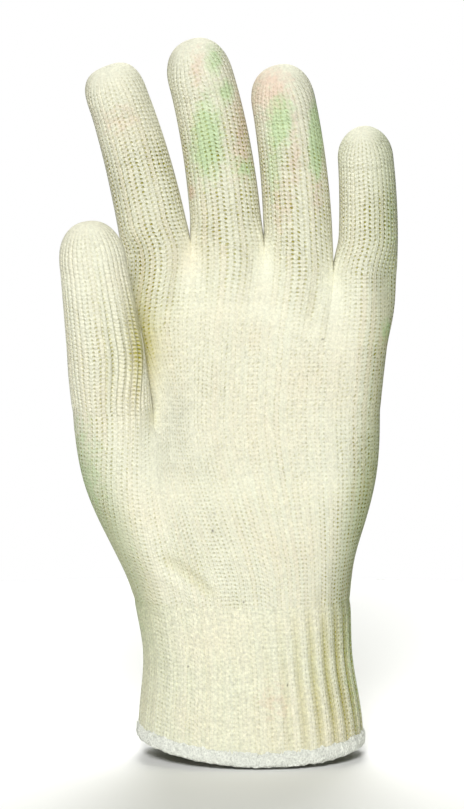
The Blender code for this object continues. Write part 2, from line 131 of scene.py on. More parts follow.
Heel = namedtuple("Heel", "level left right deep forward square")
HEEL = (
    Heel(0.00, -0.429, 0.364, 1.50, 0.00, 2.3),
    Heel(0.10, -0.452, 0.370, 1.50, 0.03, 2.3),
    Heel(0.25, -0.492, 0.380, 1.48, 0.08, 2.4),
    Heel(0.45, -0.545, 0.404, 1.42, 0.14, 2.4),
    Heel(0.70, -0.608, 0.438, 1.34, 0.18, 2.5),
    Heel(1.00, -0.655, 0.473, 1.20, 0.18, 2.6),
)
Palm = namedtuple("Palm", "level left right deep square")
PALM = (
    Palm(0.0, -0.474, 0.473, 1.00, 2.6),
    Palm(0.3, -0.472, 0.488, 0.98, 2.7),
    Palm(0.6, -0.470, 0.505, 0.93, 2.8),
    Palm(1.0, -0.469, 0.531, 0.86, 2.9),
)
THUMB_ROOT_X, THUMB_ROOT_Y, THUMB_ROOT_SLOPE = -0.498, -0.40, 0.05
WEB_FRONT_ANGLE, WEB_BACK_ANGLE = -12.0, 98.0

FIRST_BEND, SECOND_BEND, BEND_REACH, JOINT_REACH = 0.47, 0.74, 0.10, 0.03
FINGER_DOME, THUMB_DOME = 0.79, 0.77  # where the tips begin to round off
CREASE_COLUMNS, CREASE_REACH = 3, 0.13  # how wide and how fast the thumb's crease fills up
FORK_START, SCALLOP_REACH, WEB_REACH = 0.12, 0.55, 0.6
FINGER_SQUARE, CUFF_SQUARE, DOME_DEPTH_SQUARE, HEM_SQUARE = 2.15, 2.3, 2.0, 2.9

LEAD_REACH = 16.0  # how far below the roots the palm bends to run on into the fingers
SHARP_ANGLE = 65.0
LINE_STEPS = 960  # the steps of a curve before its points are spaced evenly
FRONT_MARGIN = 2.0  # how far behind its middle a piece still counts as its front

FLOOR_RADIUS, FLOOR_LEVEL, FLOOR_SIDES = 0.42, -0.001, 64
PICTURE_HEIGHT = 36.0  # of the camera's sensor, in millimetres
CAMERA_TARGET = (-6.4, 0.0, 118.8)  # in millimetres too
Light = namedtuple("Light", "name place target size")
LIGHTS = (
    Light("key", (-0.12, -1.36, 0.8), (0.0, 0.0, 0.12), 0.4),
    Light("back", (0.05, 1.25, 0.6), (0.0, 0.0, 0.12), 0.8),
    Light("top", (0.0, 0.8, 1.3), (0.0, 0.2, 0.0), 0.9),
)

OUTWARD = np.array((1.0, 0.0, 0.0))
BACK = np.array((0.0, 1.0, 0.0))

HEEL_BOTTOM = HEM_HEIGHT + CUFF_HEIGHT + 2 * SEAM_GAP
CUFF_BOTTOM = HEM_HEIGHT - 0.8  # the cuff's lower end is tucked into the hem
THUMB_LEVEL = HEEL_BOTTOM + HEEL_LENGTH
PALM_COLUMNS = len(FINGERS) * FINGER_COLUMNS

# Folds that stand up from the front, or lie in it where their height is below zero. Each runs from
# its start to its end, bowed sideways by bow at its middle.
Fold = namedtuple("Fold", "x z end_x end_z bow width height")
FOLDS = (
    Fold(-20.0, 146.0, -19.6, 172.5, 0.5, 2.6, 1.2),  # below the crotches of the fingers
    Fold(2.6, 148.0, 4.2, 171.5, 0.3, 2.4, 1.0),
    Fold(21.0, 140.0, 27.6, 163.5, 0.8, 2.6, 1.2),
    Fold(-27.5, 146.0, -24.5, 170.0, 0.6, 2.0, -0.35),
    Fold(-13.0, 152.0, -15.5, 170.0, -0.5, 2.0, -0.3),
    Fold(18.0, 145.0, 21.5, 161.0, 0.6, 2.0, -0.35),
    Fold(-10.0, 54.0, -32.0, 71.0, 1.5, 2.0, -1.3),  # the crease above the cuff, and beside it
    Fold(-14.0, 51.0, -36.0, 66.0, 1.5, 2.4, 0.8),
    Fold(-15.5, 84.0, -15.5, 146.0, 0.0, 6.5, 1.7),  # fill the palm beside the thumb's ball
    Fold(-34.0, 84.0, -34.0, 118.0, 0.0, 4.0, 1.2),
    Fold(-30.0, 74.0, -12.0, 66.0, 1.0, 4.5, -0.4),
    Fold(-4.0, 44.0, -5.5, 58.0, 0.0, 3.0, -0.5),
    Fold(18.0, 45.0, 26.0, 60.0, 0.0, 3.5, -0.45),
)

# The gathers of the knit beside the crotch of the thumb, by columns of the thumb's front and by level
PUCKER_FIRST, PUCKER_LAST, PUCKERS_PER_COLUMN = 1.2, 7.4, 1.2
PUCKER_LEVEL, PUCKER_REACH_UP, PUCKER_REACH_DOWN = 132.0, 24.0, 15.0
PUCKER_HEIGHT = 0.55

# Faint stains, by the middle of each, its half-width and its half-height
Stain = namedtuple("Stain", "x z across tall strength")
GREEN_STAINS_AND_SIDE_SHADE = (
    Stain(-12.0, 234.0, 3.5, 7.0, 0.45),
    Stain(-8.0, 223.0, 2.2, 4.0, 0.6),
    Stain(-14.8, 207.5, 6.0, 14.5, 0.7),
    Stain(-2.5, 198.0, 4.0, 5.0, 0.5),
    Stain(9.5, 214.0, 5.0, 9.0, 0.65),
    Stain(21.5, 208.0, 2.6, 14.0, 0.9),
    Stain(7.5, 196.0, 3.0, 12.0, 0.4),
    Stain(45.5, 144.0, 2.0, 5.0, 0.5),
    # These along the sides are partly green stains and partly painted shade
    Stain(46.5, 180.0, 3.0, 24.0, 0.25),
    Stain(38.0, 35.0, 8.0, 30.0, 0.42),
    Stain(-38.0, 50.0, 5.0, 30.0, 0.2),
    Stain(-57.0, 92.0, 9.0, 28.0, 0.4),
    Stain(-65.0, 150.0, 5.0, 30.0, 0.27),
)
PINK = (
    Stain(-18.0, 231.0, 3.2, 9.0, 0.4),
    Stain(-3.5, 207.0, 4.5, 17.0, 0.4),
    Stain(-20.5, 190.0, 2.2, 3.0, 0.6),
    Stain(6.0, 224.0, 8.0, 10.0, 0.55),
    Stain(14.5, 203.0, 2.4, 12.0, 0.4),
    Stain(10.0, 186.0, 5.0, 12.0, 0.3),
    Stain(22.0, 190.0, 3.0, 10.0, 0.35),
    Stain(-44.0, 214.0, 9.0, 7.0, 0.28),
    Stain(45.0, 141.0, 2.0, 4.0, 0.4),
    Stain(8.0, 22.0, 8.0, 12.0, 0.25),
)

# Painted shade beside the thumb, where it meets the palm, told in the same way
SHADED = (
    Stain(-37.5, 152.0, 3.5, 10.0, 0.5),
    Stain(-35.2, 138.0, 3.8, 12.0, 0.8),
    Stain(-34.0, 138.0, 8.0, 14.0, 0.3),
)

# Bits of seed husk caught in the yarn: where they lie and how large they are
Speck = namedtuple("Speck", "x z size")
SPECKS = (
    Speck(23.7, 141.6, 0.34),
    Speck(-8.1, 139.2, 0.28),
    Speck(-12.2, 84.2, 0.28),
    Speck(-12.8, 78.8, 0.3),
    Speck(-21.0, 33.0, 0.22),
    Speck(4.0, 40.0, 0.2),
    Speck(-2.5, 55.0, 0.2),
    Speck(12.0, 27.0, 0.22),
)


def eased(share):
    share = np.clip(share, 0.0, 1.0)
    return share * share * (3 - 2 * share)


def ramp(value, start, end):
    """A smooth way from 0 at start to 1 at end, where start may be the higher of the two."""
    return eased((value - start) / (end - start))


def bell(distance, width):
    return np.exp(-((distance / width) ** 2))


def read_table(rows, level, column):
    """A smooth curve through one column of a table."""
    levels = np.array([row.level for row in rows])
    values = np.array([getattr(row, column) for row in rows])
    slopes = np.gradient(values, levels)
    cell = int(np.clip(np.searchsorted(levels, level) - 1, 0, len(rows) - 2))
    span = levels[cell + 1] - levels[cell]
    t = (level - levels[cell]) / span
    start = values[cell] * (1 + 2 * t) * (1 - t) ** 2 + slopes[cell] * span * t * (1 - t) ** 2
    end = values[cell + 1] * t**2 * (3 - 2 * t) + slopes[cell + 1] * span * t**2 * (t - 1)
    return start + end


def averaged(values, reach):
    """Rows of values round a ring, each averaged with this many on either side of it."""
    padded = np.concatenate((values[-reach:], values, values[:reach]))
    window = np.ones(2 * reach + 1) / (2 * reach + 1)
    return np.stack([np.convolve(column, window, "valid") for column in padded.T], axis=1)


def points_along(line, shares):
    """The points at these shares of a line's length."""
    steps = np.linalg.norm(np.diff(line, axis=0), axis=1)
    run = np.concatenate(([0.0], np.cumsum(steps)))
    return np.stack([np.interp(np.asarray(shares) * run[-1], run, axis) for axis in line.T], axis=1)


def bowed(start, end, bow, columns):
    """Evenly spaced points from start, short of end, on a line that bows out."""
    share = np.linspace(0, 1, LINE_STEPS)[:, None]
    line = start + (end - start) * share + bow * np.sin(pi * share)
    return points_along(line, np.arange(columns) / columns)


def powered(value, power):
    return np.sign(value) * np.abs(value) ** power


def oval_ring(centre, across, back, half_width, half_depth, square, front, side, twist=0.0):
    """Evenly spaced points round an oval: front, far side, back, then the thumb's side."""
    turn = np.linspace(pi, 3 * pi, LINE_STEPS)
    flat = powered(np.cos(turn), 2 / square) * half_width
    fore = powered(np.sin(turn), 2 / square) * half_depth
    line = centre + flat[:, None] * across + fore[:, None] * back
    count = 2 * front + 2 * side
    return points_along(line, ((np.arange(count) + side / 2) / count + twist / 360) % 1.0)


def level_oval(x, y, z, half_width, half_depth, square, front, side=SIDE_COLUMNS):
    return oval_ring(np.array((x, y, z)), OUTWARD, BACK, half_width, half_depth, square, front, side)


def turned(start, end, reach, at, share):
    return start + (end - start) * eased((share - at + reach) / (2 * reach))


def bone_line(pose, length, root):
    """Middle points of a finger from its root to its tip, and the directions there."""
    share = np.linspace(0, 1, LINE_STEPS)
    lean = np.radians(pose.lean + (pose.lean_tip - pose.lean) * share)
    bend = turned(pose.bend_1, pose.bend_2, BEND_REACH, FIRST_BEND, share)
    bend = np.radians(turned(bend, pose.bend_3, BEND_REACH, SECOND_BEND, share))
    way = np.stack([-np.sin(lean), -np.cos(lean) * np.sin(bend), np.cos(lean) * np.cos(bend)], axis=1)
    steps = (way[1:] + way[:-1]) / 2 * length / (LINE_STEPS - 1)
    return share, root + np.concatenate((np.zeros((1, 3)), np.cumsum(steps, axis=0))), way


def finger_stations(length, dome):
    """Even rows up to where the tip begins to round off, then rows that close up towards its end."""
    straight = np.linspace(0, dome, round(dome * length / ROW) + 1)
    turns = np.linspace(0, 0.998 * pi / 2, round(length * (1 - dome) * 1.35 / ROW))[1:]
    return np.concatenate((straight, dome + (1 - dome) * np.sin(turns)))


def rounded_off(share, square):
    return (1 - share**square) ** (1 / square)


def finger_skin(pose, width, depth, length, root_ring, root, front, dome_start, twist=0.0):
    """Rings from the root to the rounded tip."""
    share, middles, ways = bone_line(pose, length, root)
    stations = finger_stations(length, dome_start)
    rings = []
    for station in stations:
        centre = np.array([np.interp(station, share, axis) for axis in middles.T])
        way = np.array([np.interp(station, share, axis) for axis in ways.T])
        across = np.cross(BACK, way)
        across /= np.linalg.norm(across)
        narrow = 1 + (pose.tip - 1) * min(1.0, station / dome_start) ** TAPER_POWER
        dome = max(0.0, (station - dome_start) / (1 - dome_start))
        half_width = width / 2 * narrow * rounded_off(dome, pose.square)
        half_depth = depth / 2 * narrow * rounded_off(dome, DOME_DEPTH_SQUARE)
        for bend in (FIRST_BEND, SECOND_BEND):
            half_depth -= JOINT_DIP * bell(station - bend, JOINT_REACH)
        shape = (half_width, half_depth, FINGER_SQUARE, front, SIDE_COLUMNS, twist)
        tube = oval_ring(centre, across, np.cross(way, across), *shape)
        own = eased(station / pose.rounding)
        rings.append(tube * own + (root_ring + way * station * length) * (1 - own))
    return np.array(rings), stations


def crotches():
    """The points between the fingers on the knuckle line, from the thumb side outwards."""
    x = -KNUCKLES_TO_THUMB_SIDE * KNUCKLE_WIDTH
    points = []
    for finger, height in zip((*FINGERS, None), CROTCH_HEIGHTS):
        points.append(np.array((x, 0.0, THUMB_LEVEL + height * PALM_LENGTH)))
        x += finger.root * KNUCKLE_WIDTH if finger else 0.0
    return points


def root_ring(position):
    """The ring that the palm and the finger at this position share, and its middle."""
    points = crotches()
    near, far = points[position], points[position + 1]
    middle = (near + far) / 2
    if position == len(FINGERS) - 1:
        middle[0] += (far - near)[0] * (1 - FINGERS[position].tube) / 2
    web = -BACK * CROTCH_DEPTH * KNUCKLE_DEPTH / 2
    bow = -BACK * KNUCKLE_DEPTH / 2 - web
    near_bow = -OUTWARD * KNUCKLE_SIDE_BULGE * (position == 0)
    far_bow = OUTWARD * KNUCKLE_SIDE_BULGE * (position == len(FINGERS) - 1)
    near, far = near - near_bow, far - far_bow
    ring = (
        bowed(near + web, far + web, bow, FINGER_COLUMNS),
        bowed(far + web, far - web, far_bow, SIDE_COLUMNS),
        bowed(far - web, near - web, -bow, FINGER_COLUMNS),
        bowed(near - web, near + web, near_bow, SIDE_COLUMNS),
    )
    return np.concatenate(ring), middle


def knuckle_ring():
    """The ring that the palm ends in: the fronts of the four roots, the far side, and the backs."""
    rings = [root_ring(position)[0] for position in range(len(FINGERS))]
    fronts = [ring[:FINGER_COLUMNS] for ring in rings]
    side = rings[-1][FINGER_COLUMNS : FINGER_COLUMNS + SIDE_COLUMNS]
    start = FINGER_COLUMNS + SIDE_COLUMNS
    backs = [ring[start : start + FINGER_COLUMNS] for ring in reversed(rings)]
    return np.concatenate((*fronts, side, *backs, rings[0][-SIDE_COLUMNS:]))


def middle_and_half(left, right):
    """The middle and the half-width between two places that are shares of the knuckles' width."""
    return (left + right) / 2 * KNUCKLE_WIDTH, (right - left) / 2 * KNUCKLE_WIDTH


def palm_ring(level):
    left, right, deep, square = (read_table(PALM, level, name) for name in Palm._fields[1:])
    x, half_width = middle_and_half(left, right)
    height = THUMB_LEVEL + level * PALM_LENGTH
    return level_oval(x, 0.0, height, half_width, deep / 2 * PALM_DEPTH, square, PALM_COLUMNS)


def on_thumb_root(angle):
    """The point of the thumb's root at an angle in degrees, from the far side round the back."""
    flat, fore = cos(radians(angle)), sin(radians(angle))
    reach = (abs(flat) ** FINGER_SQUARE + abs(fore) ** FINGER_SQUARE) ** (-1 / FINGER_SQUARE)
    return thumb_middle() + reach * (flat * THUMB_WIDTH * OUTWARD + fore * THUMB_DEPTH * BACK) / 2


def thumb_middle():
    return np.array((THUMB_ROOT_X * KNUCKLE_WIDTH, THUMB_ROOT_Y * PALM_DEPTH, THUMB_LEVEL))


def thumb_web():
    """Points along the web between thumb and palm, from its front end to its back end."""
    front, back = on_thumb_root(WEB_FRONT_ANGLE), on_thumb_root(WEB_BACK_ANGLE)
    return front + (back - front) * (np.arange(SIDE_COLUMNS + 1) / SIDE_COLUMNS)[:, None]


def thumb_root():
    """The ring that the palm and the thumb share."""
    angles = np.linspace(WEB_BACK_ANGLE, 360 + WEB_FRONT_ANGLE, LINE_STEPS)
    line = np.array([on_thumb_root(angle) for angle in angles])
    free_columns = 2 * THUMB_COLUMNS + SIDE_COLUMNS
    free = points_along(line, np.arange(free_columns) / free_columns)
    return np.concatenate((free[-THUMB_COLUMNS:], thumb_web()[:-1], free[:-THUMB_COLUMNS]))


def puckers(rings):
    """How far the gathers beside the crotch of the thumb stand up from the thumb's columns."""
    column = np.arange(rings.shape[1]) / COLUMN_POINTS
    window = eased((column - PUCKER_FIRST) / 1.5) * eased((PUCKER_LAST - column) / 0.8)
    wave = np.cos(2 * pi * column * PUCKERS_PER_COLUMN)
    wave = np.where(wave > 0, wave, -(np.abs(wave) ** 0.8)) * window
    z = rings[..., 2]
    reach = np.where(z > PUCKER_LEVEL, PUCKER_REACH_UP, PUCKER_REACH_DOWN)
    return PUCKER_HEIGHT * bell(z - PUCKER_LEVEL, reach) * wave[None, :]


def forked_ring():
    """The ring at the crotch of the thumb: the thumb's front, the palm, and the thumb's back."""
    thumb = thumb_root()
    palm = upper_palm_rings((0.0,))[0]
    back = THUMB_COLUMNS + SIDE_COLUMNS
    return np.concatenate((thumb[:THUMB_COLUMNS], palm[:-SIDE_COLUMNS], thumb[back:]))


def upper_palm_rings(rows):
    """Rings from the crotch of the thumb to the knuckle line."""
    goal = knuckle_ring()
    web_pull = pull_to_web(palm_ring(0.0))
    rings = []
    for row in rows:
        height = THUMB_LEVEL + (goal[:, 2] - THUMB_LEVEL) * row
        own = eased((row - 1 + SCALLOP_REACH) / SCALLOP_REACH)
        ring = palm_ring(row) * (1 - own) + goal * own + web_pull * (1 - eased(row / WEB_REACH))
        ring[:, 2] = height
        rings.append(ring)
    return np.array(rings)


def led_into_fingers(rings):
    """The palm's rings, bent below the fingers' roots so that they run on into the fingers."""
    slopes = np.zeros((rings.shape[1], 2))
    side = FINGER_COLUMNS * len(FINGERS)
    for position, finger in enumerate(FINGERS):
        lean, bend = radians(finger.pose.lean), radians(finger.pose.bend_1)
        slope = (-sin(lean) / (cos(lean) * cos(bend)), -sin(bend) / cos(bend))
        start = position * FINGER_COLUMNS
        slopes[start : start + FINGER_COLUMNS] = slope
        back_end = 2 * side + SIDE_COLUMNS - start
        slopes[back_end - FINGER_COLUMNS : back_end] = slope
    slopes[side : side + SIDE_COLUMNS] = slopes[side - 1]
    slopes[-SIDE_COLUMNS:] = slopes[0]
    slopes = averaged(slopes, FINGER_COLUMNS // 3)
    below = rings[-1, :, 2] - rings[..., 2]
    own = (rings[-1] - rings[-3])[:, :2] / (rings[-1] - rings[-3])[:, 2:]
    share = -below * np.clip(1 - below / LEAD_REACH, 0, 1) ** 2
    rings = rings.copy()
    rings[..., :2] += share[..., None] * (slopes - own)[None]
    return rings


def pull_to_web(ring):
    """The moves that lay a palm ring's thumb side along the web, fading out round the palm."""
    web = thumb_web()
    count = len(ring)
    back = count - SIDE_COLUMNS
    columns = np.arange(count)
    front_share = eased(1 - columns / PULL_COLUMNS)[:, None]
    back_share = eased(1 - (back - columns) / PULL_COLUMNS)[:, None] * (columns <= back)[:, None]
    pull = (web[0] - ring[0]) * front_share + (web[-1] - ring[back]) * back_share
    for step in range(1, SIDE_COLUMNS):
        pull[back + step] = web[SIDE_COLUMNS - step] - ring[back + step]
    return pull


def heel_rings(rows):
    """Rings from the cuff to the crotch of the thumb, where thumb and palm are one tube."""
    fork = forked_ring()
    thumb_share = np.zeros(len(fork))
    thumb_share[:THUMB_COLUMNS] = 1.0
    thumb_share[-THUMB_COLUMNS - SIDE_COLUMNS :] = 1.0
    rings = []
    for row in rows:
        left, right, deep, forward, square = (read_table(HEEL, row, name) for name in Heel._fields[1:])
        x, half_width = middle_and_half(left, right)
        y, half_depth = -forward * PALM_DEPTH, deep / 2 * PALM_DEPTH
        height = HEEL_BOTTOM + row * HEEL_LENGTH
        smooth = level_oval(x, y, height, half_width, half_depth, square, THUMB_COLUMNS + PALM_COLUMNS)
        lobed = fork.copy()
        lobed[:, 0] += thumb_share * THUMB_ROOT_SLOPE * (1 - row) * HEEL_LENGTH
        lobed[:, 2] = height
        own = eased((row - FORK_START) / (1 - FORK_START))
        rings.append(filled_crease(smooth * (1 - own) + lobed * own, row))
    return np.array(rings)


def filled_crease(ring, row):
    """The ring with the crease between thumb and palm smoothed out, more so further down."""
    smooth = averaged(ring, CREASE_COLUMNS * COLUMN_POINTS)
    near = bell((np.arange(len(ring)) - THUMB_COLUMNS) / COLUMN_POINTS, 2.2 * CREASE_COLUMNS)
    share = (near * eased((1 - row) / CREASE_REACH))[:, None]
    return ring * (1 - share) + smooth * share


def hem_droop(ring):
    """How much higher than its lowest point the hem lies below each point of a ring."""
    x = ring[:, 0] - ring[:, 0].mean()
    return HEM_DROOP * (x / np.abs(x).max() - HEM_LOWEST) ** 2


def cuff_rings(rows, inset):
    """Smooth rings of the cuff, from the hem up to the palm's lowest ring."""
    x_top, half_top = middle_and_half(HEEL[0].left, HEEL[0].right)
    top_width, top_depth = 2 * half_top, HEEL[0].deep * PALM_DEPTH
    rings = []
    for row in rows:
        rise, top = eased(row / NARROWEST), ramp(row, NARROWEST, 1)
        width = CUFF_WIDTH + (WRIST_WIDTH - CUFF_WIDTH) * rise
        depth = CUFF_DEPTH + (WRIST_DEPTH - CUFF_DEPTH) * rise
        width += (top_width - width) * top
        depth += (top_depth - depth) * top
        z = CUFF_BOTTOM + row * (HEEL_BOTTOM - CUFF_BOTTOM)
        front = THUMB_COLUMNS + PALM_COLUMNS
        shape = (width / 2 - inset, depth / 2 - inset, CUFF_SQUARE)
        ring = level_oval(x_top * row**2, 0.0, z, *shape, front)
        ring[:, 2] += hem_droop(ring) * (1 - row)
        rings.append(ring)
    return np.array(rings)


def rib_depths(rings, relief):
    """How far ribs of this relief in each row lie below their tops round the cuff or the heel."""
    column = (np.arange(rings.shape[1]) + SIDE_COLUMNS / 2) / COLUMN_POINTS
    grooves = ((1 - np.cos(pi * column)) / 2) ** 1.1
    share = RIB_LEAST + (1 - RIB_LEAST) * eased(rings[..., 0] / RIB_FULL)
    return grooves * (relief[:, None] * share)


def grid_normals(rings):
    """Directions out of a grid of rings that close round and go up."""
    round_way = np.roll(rings, -1, axis=1) - np.roll(rings, 1, axis=1)
    up_way = np.gradient(rings, axis=0)
    normals = np.cross(round_way, up_way)
    return normals / np.maximum(np.linalg.norm(normals, axis=2), 1e-9)[..., None]


def fold_height(points):
    """How far the folds lift points, judged by where they lie as seen from the front."""
    total = np.zeros(points.shape[:-1])
    for fold in FOLDS:
        start = np.array((fold.x, fold.z))
        along = np.array((fold.end_x, fold.end_z)) - start
        length = np.linalg.norm(along)
        along = along / length
        aside = np.array((along[1], -along[0]))
        place = points[..., (0, 2)] - start
        share = place @ along / length
        distance = place @ aside - fold.bow * np.sin(pi * np.clip(share, 0, 1))
        ends = eased(share / 0.3) * eased((1 - share) / 0.3)
        total += fold.height * bell(distance, fold.width) * ends
    return total


def front_folds(rings, normals):
    """The moves that lay the front in folds, which fade out where the skin turns away."""
    facing = eased(-normals[..., 1] * 1.6)
    return -BACK * (fold_height(rings) * facing)[..., None]


def spot_total(points, stains):
    """How strong the stains are at each point, as seen from the front."""
    total = np.zeros(len(points))
    for stain in stains:
        across = (points[:, 0] - stain.x) / stain.across
        tall = (points[:, 2] - stain.z) / stain.tall
        total += stain.strength * np.exp(-(across**2) - tall**2)
    return total


def speck_total(points):
    x, z = points[:, 0], points[:, 2]
    return sum(bell(np.hypot(x - speck.x, z - speck.z), speck.size) for speck in SPECKS)


def wale_numbers(*runs):
    """Where each column begins in the knit. Each run is some columns and the wales that they hold."""
    numbers = [0.0]
    for columns, wales in runs:
        numbers.extend(numbers[-1] + wales * (np.arange(columns) + 1) / columns)
    return np.array(numbers)


def thumb_wale_numbers(columns, wales):
    """The wales round the thumb, with these columns and wales between its front and its free part."""
    free = THUMB_COLUMNS + SIDE_COLUMNS
    total = free + THUMB_COLUMNS
    numbers = wale_numbers(
        (THUMB_COLUMNS, THUMB_WALES * THUMB_COLUMNS / total),
        (columns, wales),
        (free, THUMB_WALES * free / total),
    )
    return numbers - numbers[THUMB_COLUMNS]


def wale_relief(wales, fade, relief):
    """How far the wales stand up or lie in round a ring, by their relief in metres."""
    return -np.cos(2 * pi * wales[:-1]) * fade * relief / MM


def course_numbers(rings):
    """How many courses lie below each point of a grid, with the first column again at the end."""
    steps = np.linalg.norm(np.diff(rings, axis=0, prepend=rings[:1]), axis=2)
    numbers = np.cumsum(steps, axis=0) / COURSE
    return np.concatenate((numbers, numbers[:, :1]), axis=1)


class Skin:
    """Gathers the points and faces of one piece. Points are in millimetres."""

    def __init__(self):
        self.points = np.zeros((0, 3))
        self.quads, self.quad_maps = [], []
        self.triangles = []

    def add(self, points):
        """Adds points of any grid and returns their numbers in the same grid."""
        start = len(self.points)
        flat = points.reshape(-1, 3)
        self.points = np.concatenate((self.points, flat))
        return np.arange(start, start + len(flat)).reshape(points.shape[:-1])

    def strip(self, rows, wales, courses, inward=False):
        """Quads between rows that close round. The wales have one number more than a row has points."""
        after = np.roll(rows, -1, axis=1)
        quads = np.stack((rows[:-1], after[:-1], after[1:], rows[1:]), axis=-1)
        across = np.stack((wales[:-1], wales[1:], wales[1:], wales[:-1]), axis=-1)
        up = np.broadcast_to(courses.reshape(len(courses), -1), (len(courses), len(wales)))
        up = np.stack((up[:-1, :-1], up[:-1, 1:], up[1:, 1:], up[1:, :-1]), axis=-1)
        maps = np.empty((*quads.shape, 2))
        maps[..., 0] = across[None]
        maps[..., 1] = up
        if inward:
            quads, maps = quads[..., ::-1], maps[..., ::-1, :]
        self.quads.append(quads.reshape(-1, 4))
        self.quad_maps.append(maps.reshape(-1, 4, 2))

    def lining(self, numbers, wales, courses, rows):
        """The coarse strip behind a fine one that has these wales and courses."""
        self.strip(numbers, wales[::COLUMN_POINTS], courses[rows, ::COLUMN_POINTS], inward=True)

    def rim(self, outer, inner):
        """Closes a skin's open edge. The outer loop has COLUMN_POINTS points to each inner one."""
        for place in range(len(inner)):
            after = (place + 1) % len(inner)
            start = place * COLUMN_POINTS
            for step in range(start, start + COLUMN_POINTS):
                self.triangles.append((outer[step], outer[(step + 1) % len(outer)], inner[place]))
            end = (start + COLUMN_POINTS) % len(outer)
            self.triangles.append((outer[end], inner[after], inner[place]))

    def bottom_rim(self, outer, inner):
        """Closes a lower edge, which runs round the other way than an upper one."""
        self.rim(np.roll(outer[::-1], 1), np.roll(inner[::-1], 1))

    def cap(self, ring, inward=False):
        """Closes a tip with a fan round its middle."""
        middle = int(self.add(self.points[ring].mean(axis=0)[None])[0])
        after = np.roll(ring, -1)
        for here, there in zip(ring, after):
            self.triangles.append((there, here, middle) if inward else (here, there, middle))

    def mesh(self, name):
        quads = np.concatenate(self.quads)
        triangles = np.array(self.triangles, dtype=int).reshape(-1, 3)
        loops = np.concatenate((quads.ravel(), triangles.ravel()))
        totals = np.concatenate((np.full(len(quads), 4), np.full(len(triangles), 3)))
        mesh = bpy.data.meshes.new(name)
        mesh.vertices.add(len(self.points))
        mesh.vertices.foreach_set("co", (self.points * MM).ravel())
        mesh.loops.add(len(loops))
        mesh.loops.foreach_set("vertex_index", loops)
        mesh.polygons.add(len(totals))
        mesh.polygons.foreach_set("loop_start", np.concatenate(([0], np.cumsum(totals)[:-1])))
        mesh.polygons.foreach_set("loop_total", totals)
        quad_maps = np.concatenate(self.quad_maps).reshape(-1, 2)
        maps = np.concatenate((quad_maps, np.zeros((triangles.size, 2))))
        layer = mesh.uv_layers.new(name="stitches")
        layer.data.foreach_set("uv", maps.ravel())
        mesh.update(calc_edges=True)
        if mesh.validate():
            raise RuntimeError(f"{name} has faces that are not valid")
        mesh.shade_smooth()
        mesh.set_sharp_from_angle(angle=radians(SHARP_ANGLE))
        return mesh


def add_piece(name, skin, attributes, material):
    """Makes an object of a skin that takes the place of the solid of the same name."""
    old = bpy.data.objects.get(f"{name}_knit")
    if old:
        bpy.data.objects.remove(old)
    mesh = skin.mesh(f"{name}_knit")
    points = skin.points
    front = points[:, 1] < np.median(points[:, 1]) + FRONT_MARGIN
    attributes["green"] = spot_total(points, GREEN_STAINS_AND_SIDE_SHADE) * front
    attributes["pink"] = spot_total(points, PINK) * front
    attributes["specks"] = speck_total(points) * front
    # Painted shade beside the thumb, on top of the painted shade in grooves
    attributes["groove"] = attributes.get("groove", 0.0) + spot_total(points, SHADED) * front
    for key, values in attributes.items():
        layer = mesh.attributes.new(key, "FLOAT", "POINT")
        layer.data.foreach_set("value", np.asarray(values, dtype=np.float32))
    mesh.materials.append(material)
    piece = bpy.data.objects.new(f"{name}_knit", mesh)
    bpy.context.scene.collection.objects.link(piece)
    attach(piece, "root")
    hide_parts(name)


def knit_attributes(points):
    """How open and how fine the knit is, and the painted shade at its sides, which run on from one
    section to the next.
    """
    x, z = points[:, 0], points[:, 2]
    line = crotches()
    roots = np.interp(x, [point[0] for point in line], [point[2] for point in line])
    levels, *columns = np.array(SIDES).T
    right, right_painted_shade, left, left_painted_shade = (np.interp(z, levels, column) for column in columns)

    # The knit opens towards the fingers, over the thumb's ball, below the index finger, at both
    # sides and in the heel. At the sides its darker gaps are partly painted shade
    finger = ramp(z - roots, -22.0, 0.0)
    ball = ramp(x, -32.5, -35.5) * ramp(z, 98.0, 117.0)
    beside_ball = 0.6 * ramp(x, -36.0, -48.0) * ramp(z, 70.0, 110.0)
    thumb = np.maximum(ball, beside_ball) * (z < THUMB_LEVEL + 0.1)
    below_index = 0.2 * bell(x + 33.0, 9.0) * bell(z - 156.0, 16.0)
    sides = 0.45 * ramp(x - right, -16.0, 0.0) + 0.09 * ramp(x - left, 20.0, 0.0)
    open_knit = PALM_OPEN + (FINGER_OPEN - PALM_OPEN) * finger + (THUMB_OPEN - PALM_OPEN) * thumb
    open_knit += below_index + sides * ramp(z, 158.0, 138.0) + HEEL_MORE_OPEN * ramp(z, 105.0, 75.0)

    # It is close below the three crotches of the fingers, and fine on the middle of the palm
    close = sum(bell(x - point[0], 4.2) * bell(z - point[2] + 8.0, 14.0) for point in line[1:4])
    open_knit *= 1 - np.clip(1.1 * close, 0, 1)
    fine = ramp(z, 85.0, 100.0) * ramp(x, -36.0, -28.0) * ramp(z - roots, -16.0, -28.0)
    # Painted shade towards both sides, where the light falls off
    dark = ramp(x - right, -12.0, 0.0) * right_painted_shade + ramp(x - left, 14.0, 0.0) * left_painted_shade
    return {"open_knit": open_knit, "fine": fine, "dark": dark}


def inner_face(rings, normals, rows):
    """The coarse inner face behind a fine grid."""
    return rings[rows, ::COLUMN_POINTS] - WALL * normals[rows, ::COLUMN_POINTS]


def coarse_rows(count):
    """The numbers of the rows that the inner face follows, with the first and the last."""
    return np.unique(np.append(np.arange(0, count - INNER_ROWS // 2, INNER_ROWS), count - 1))


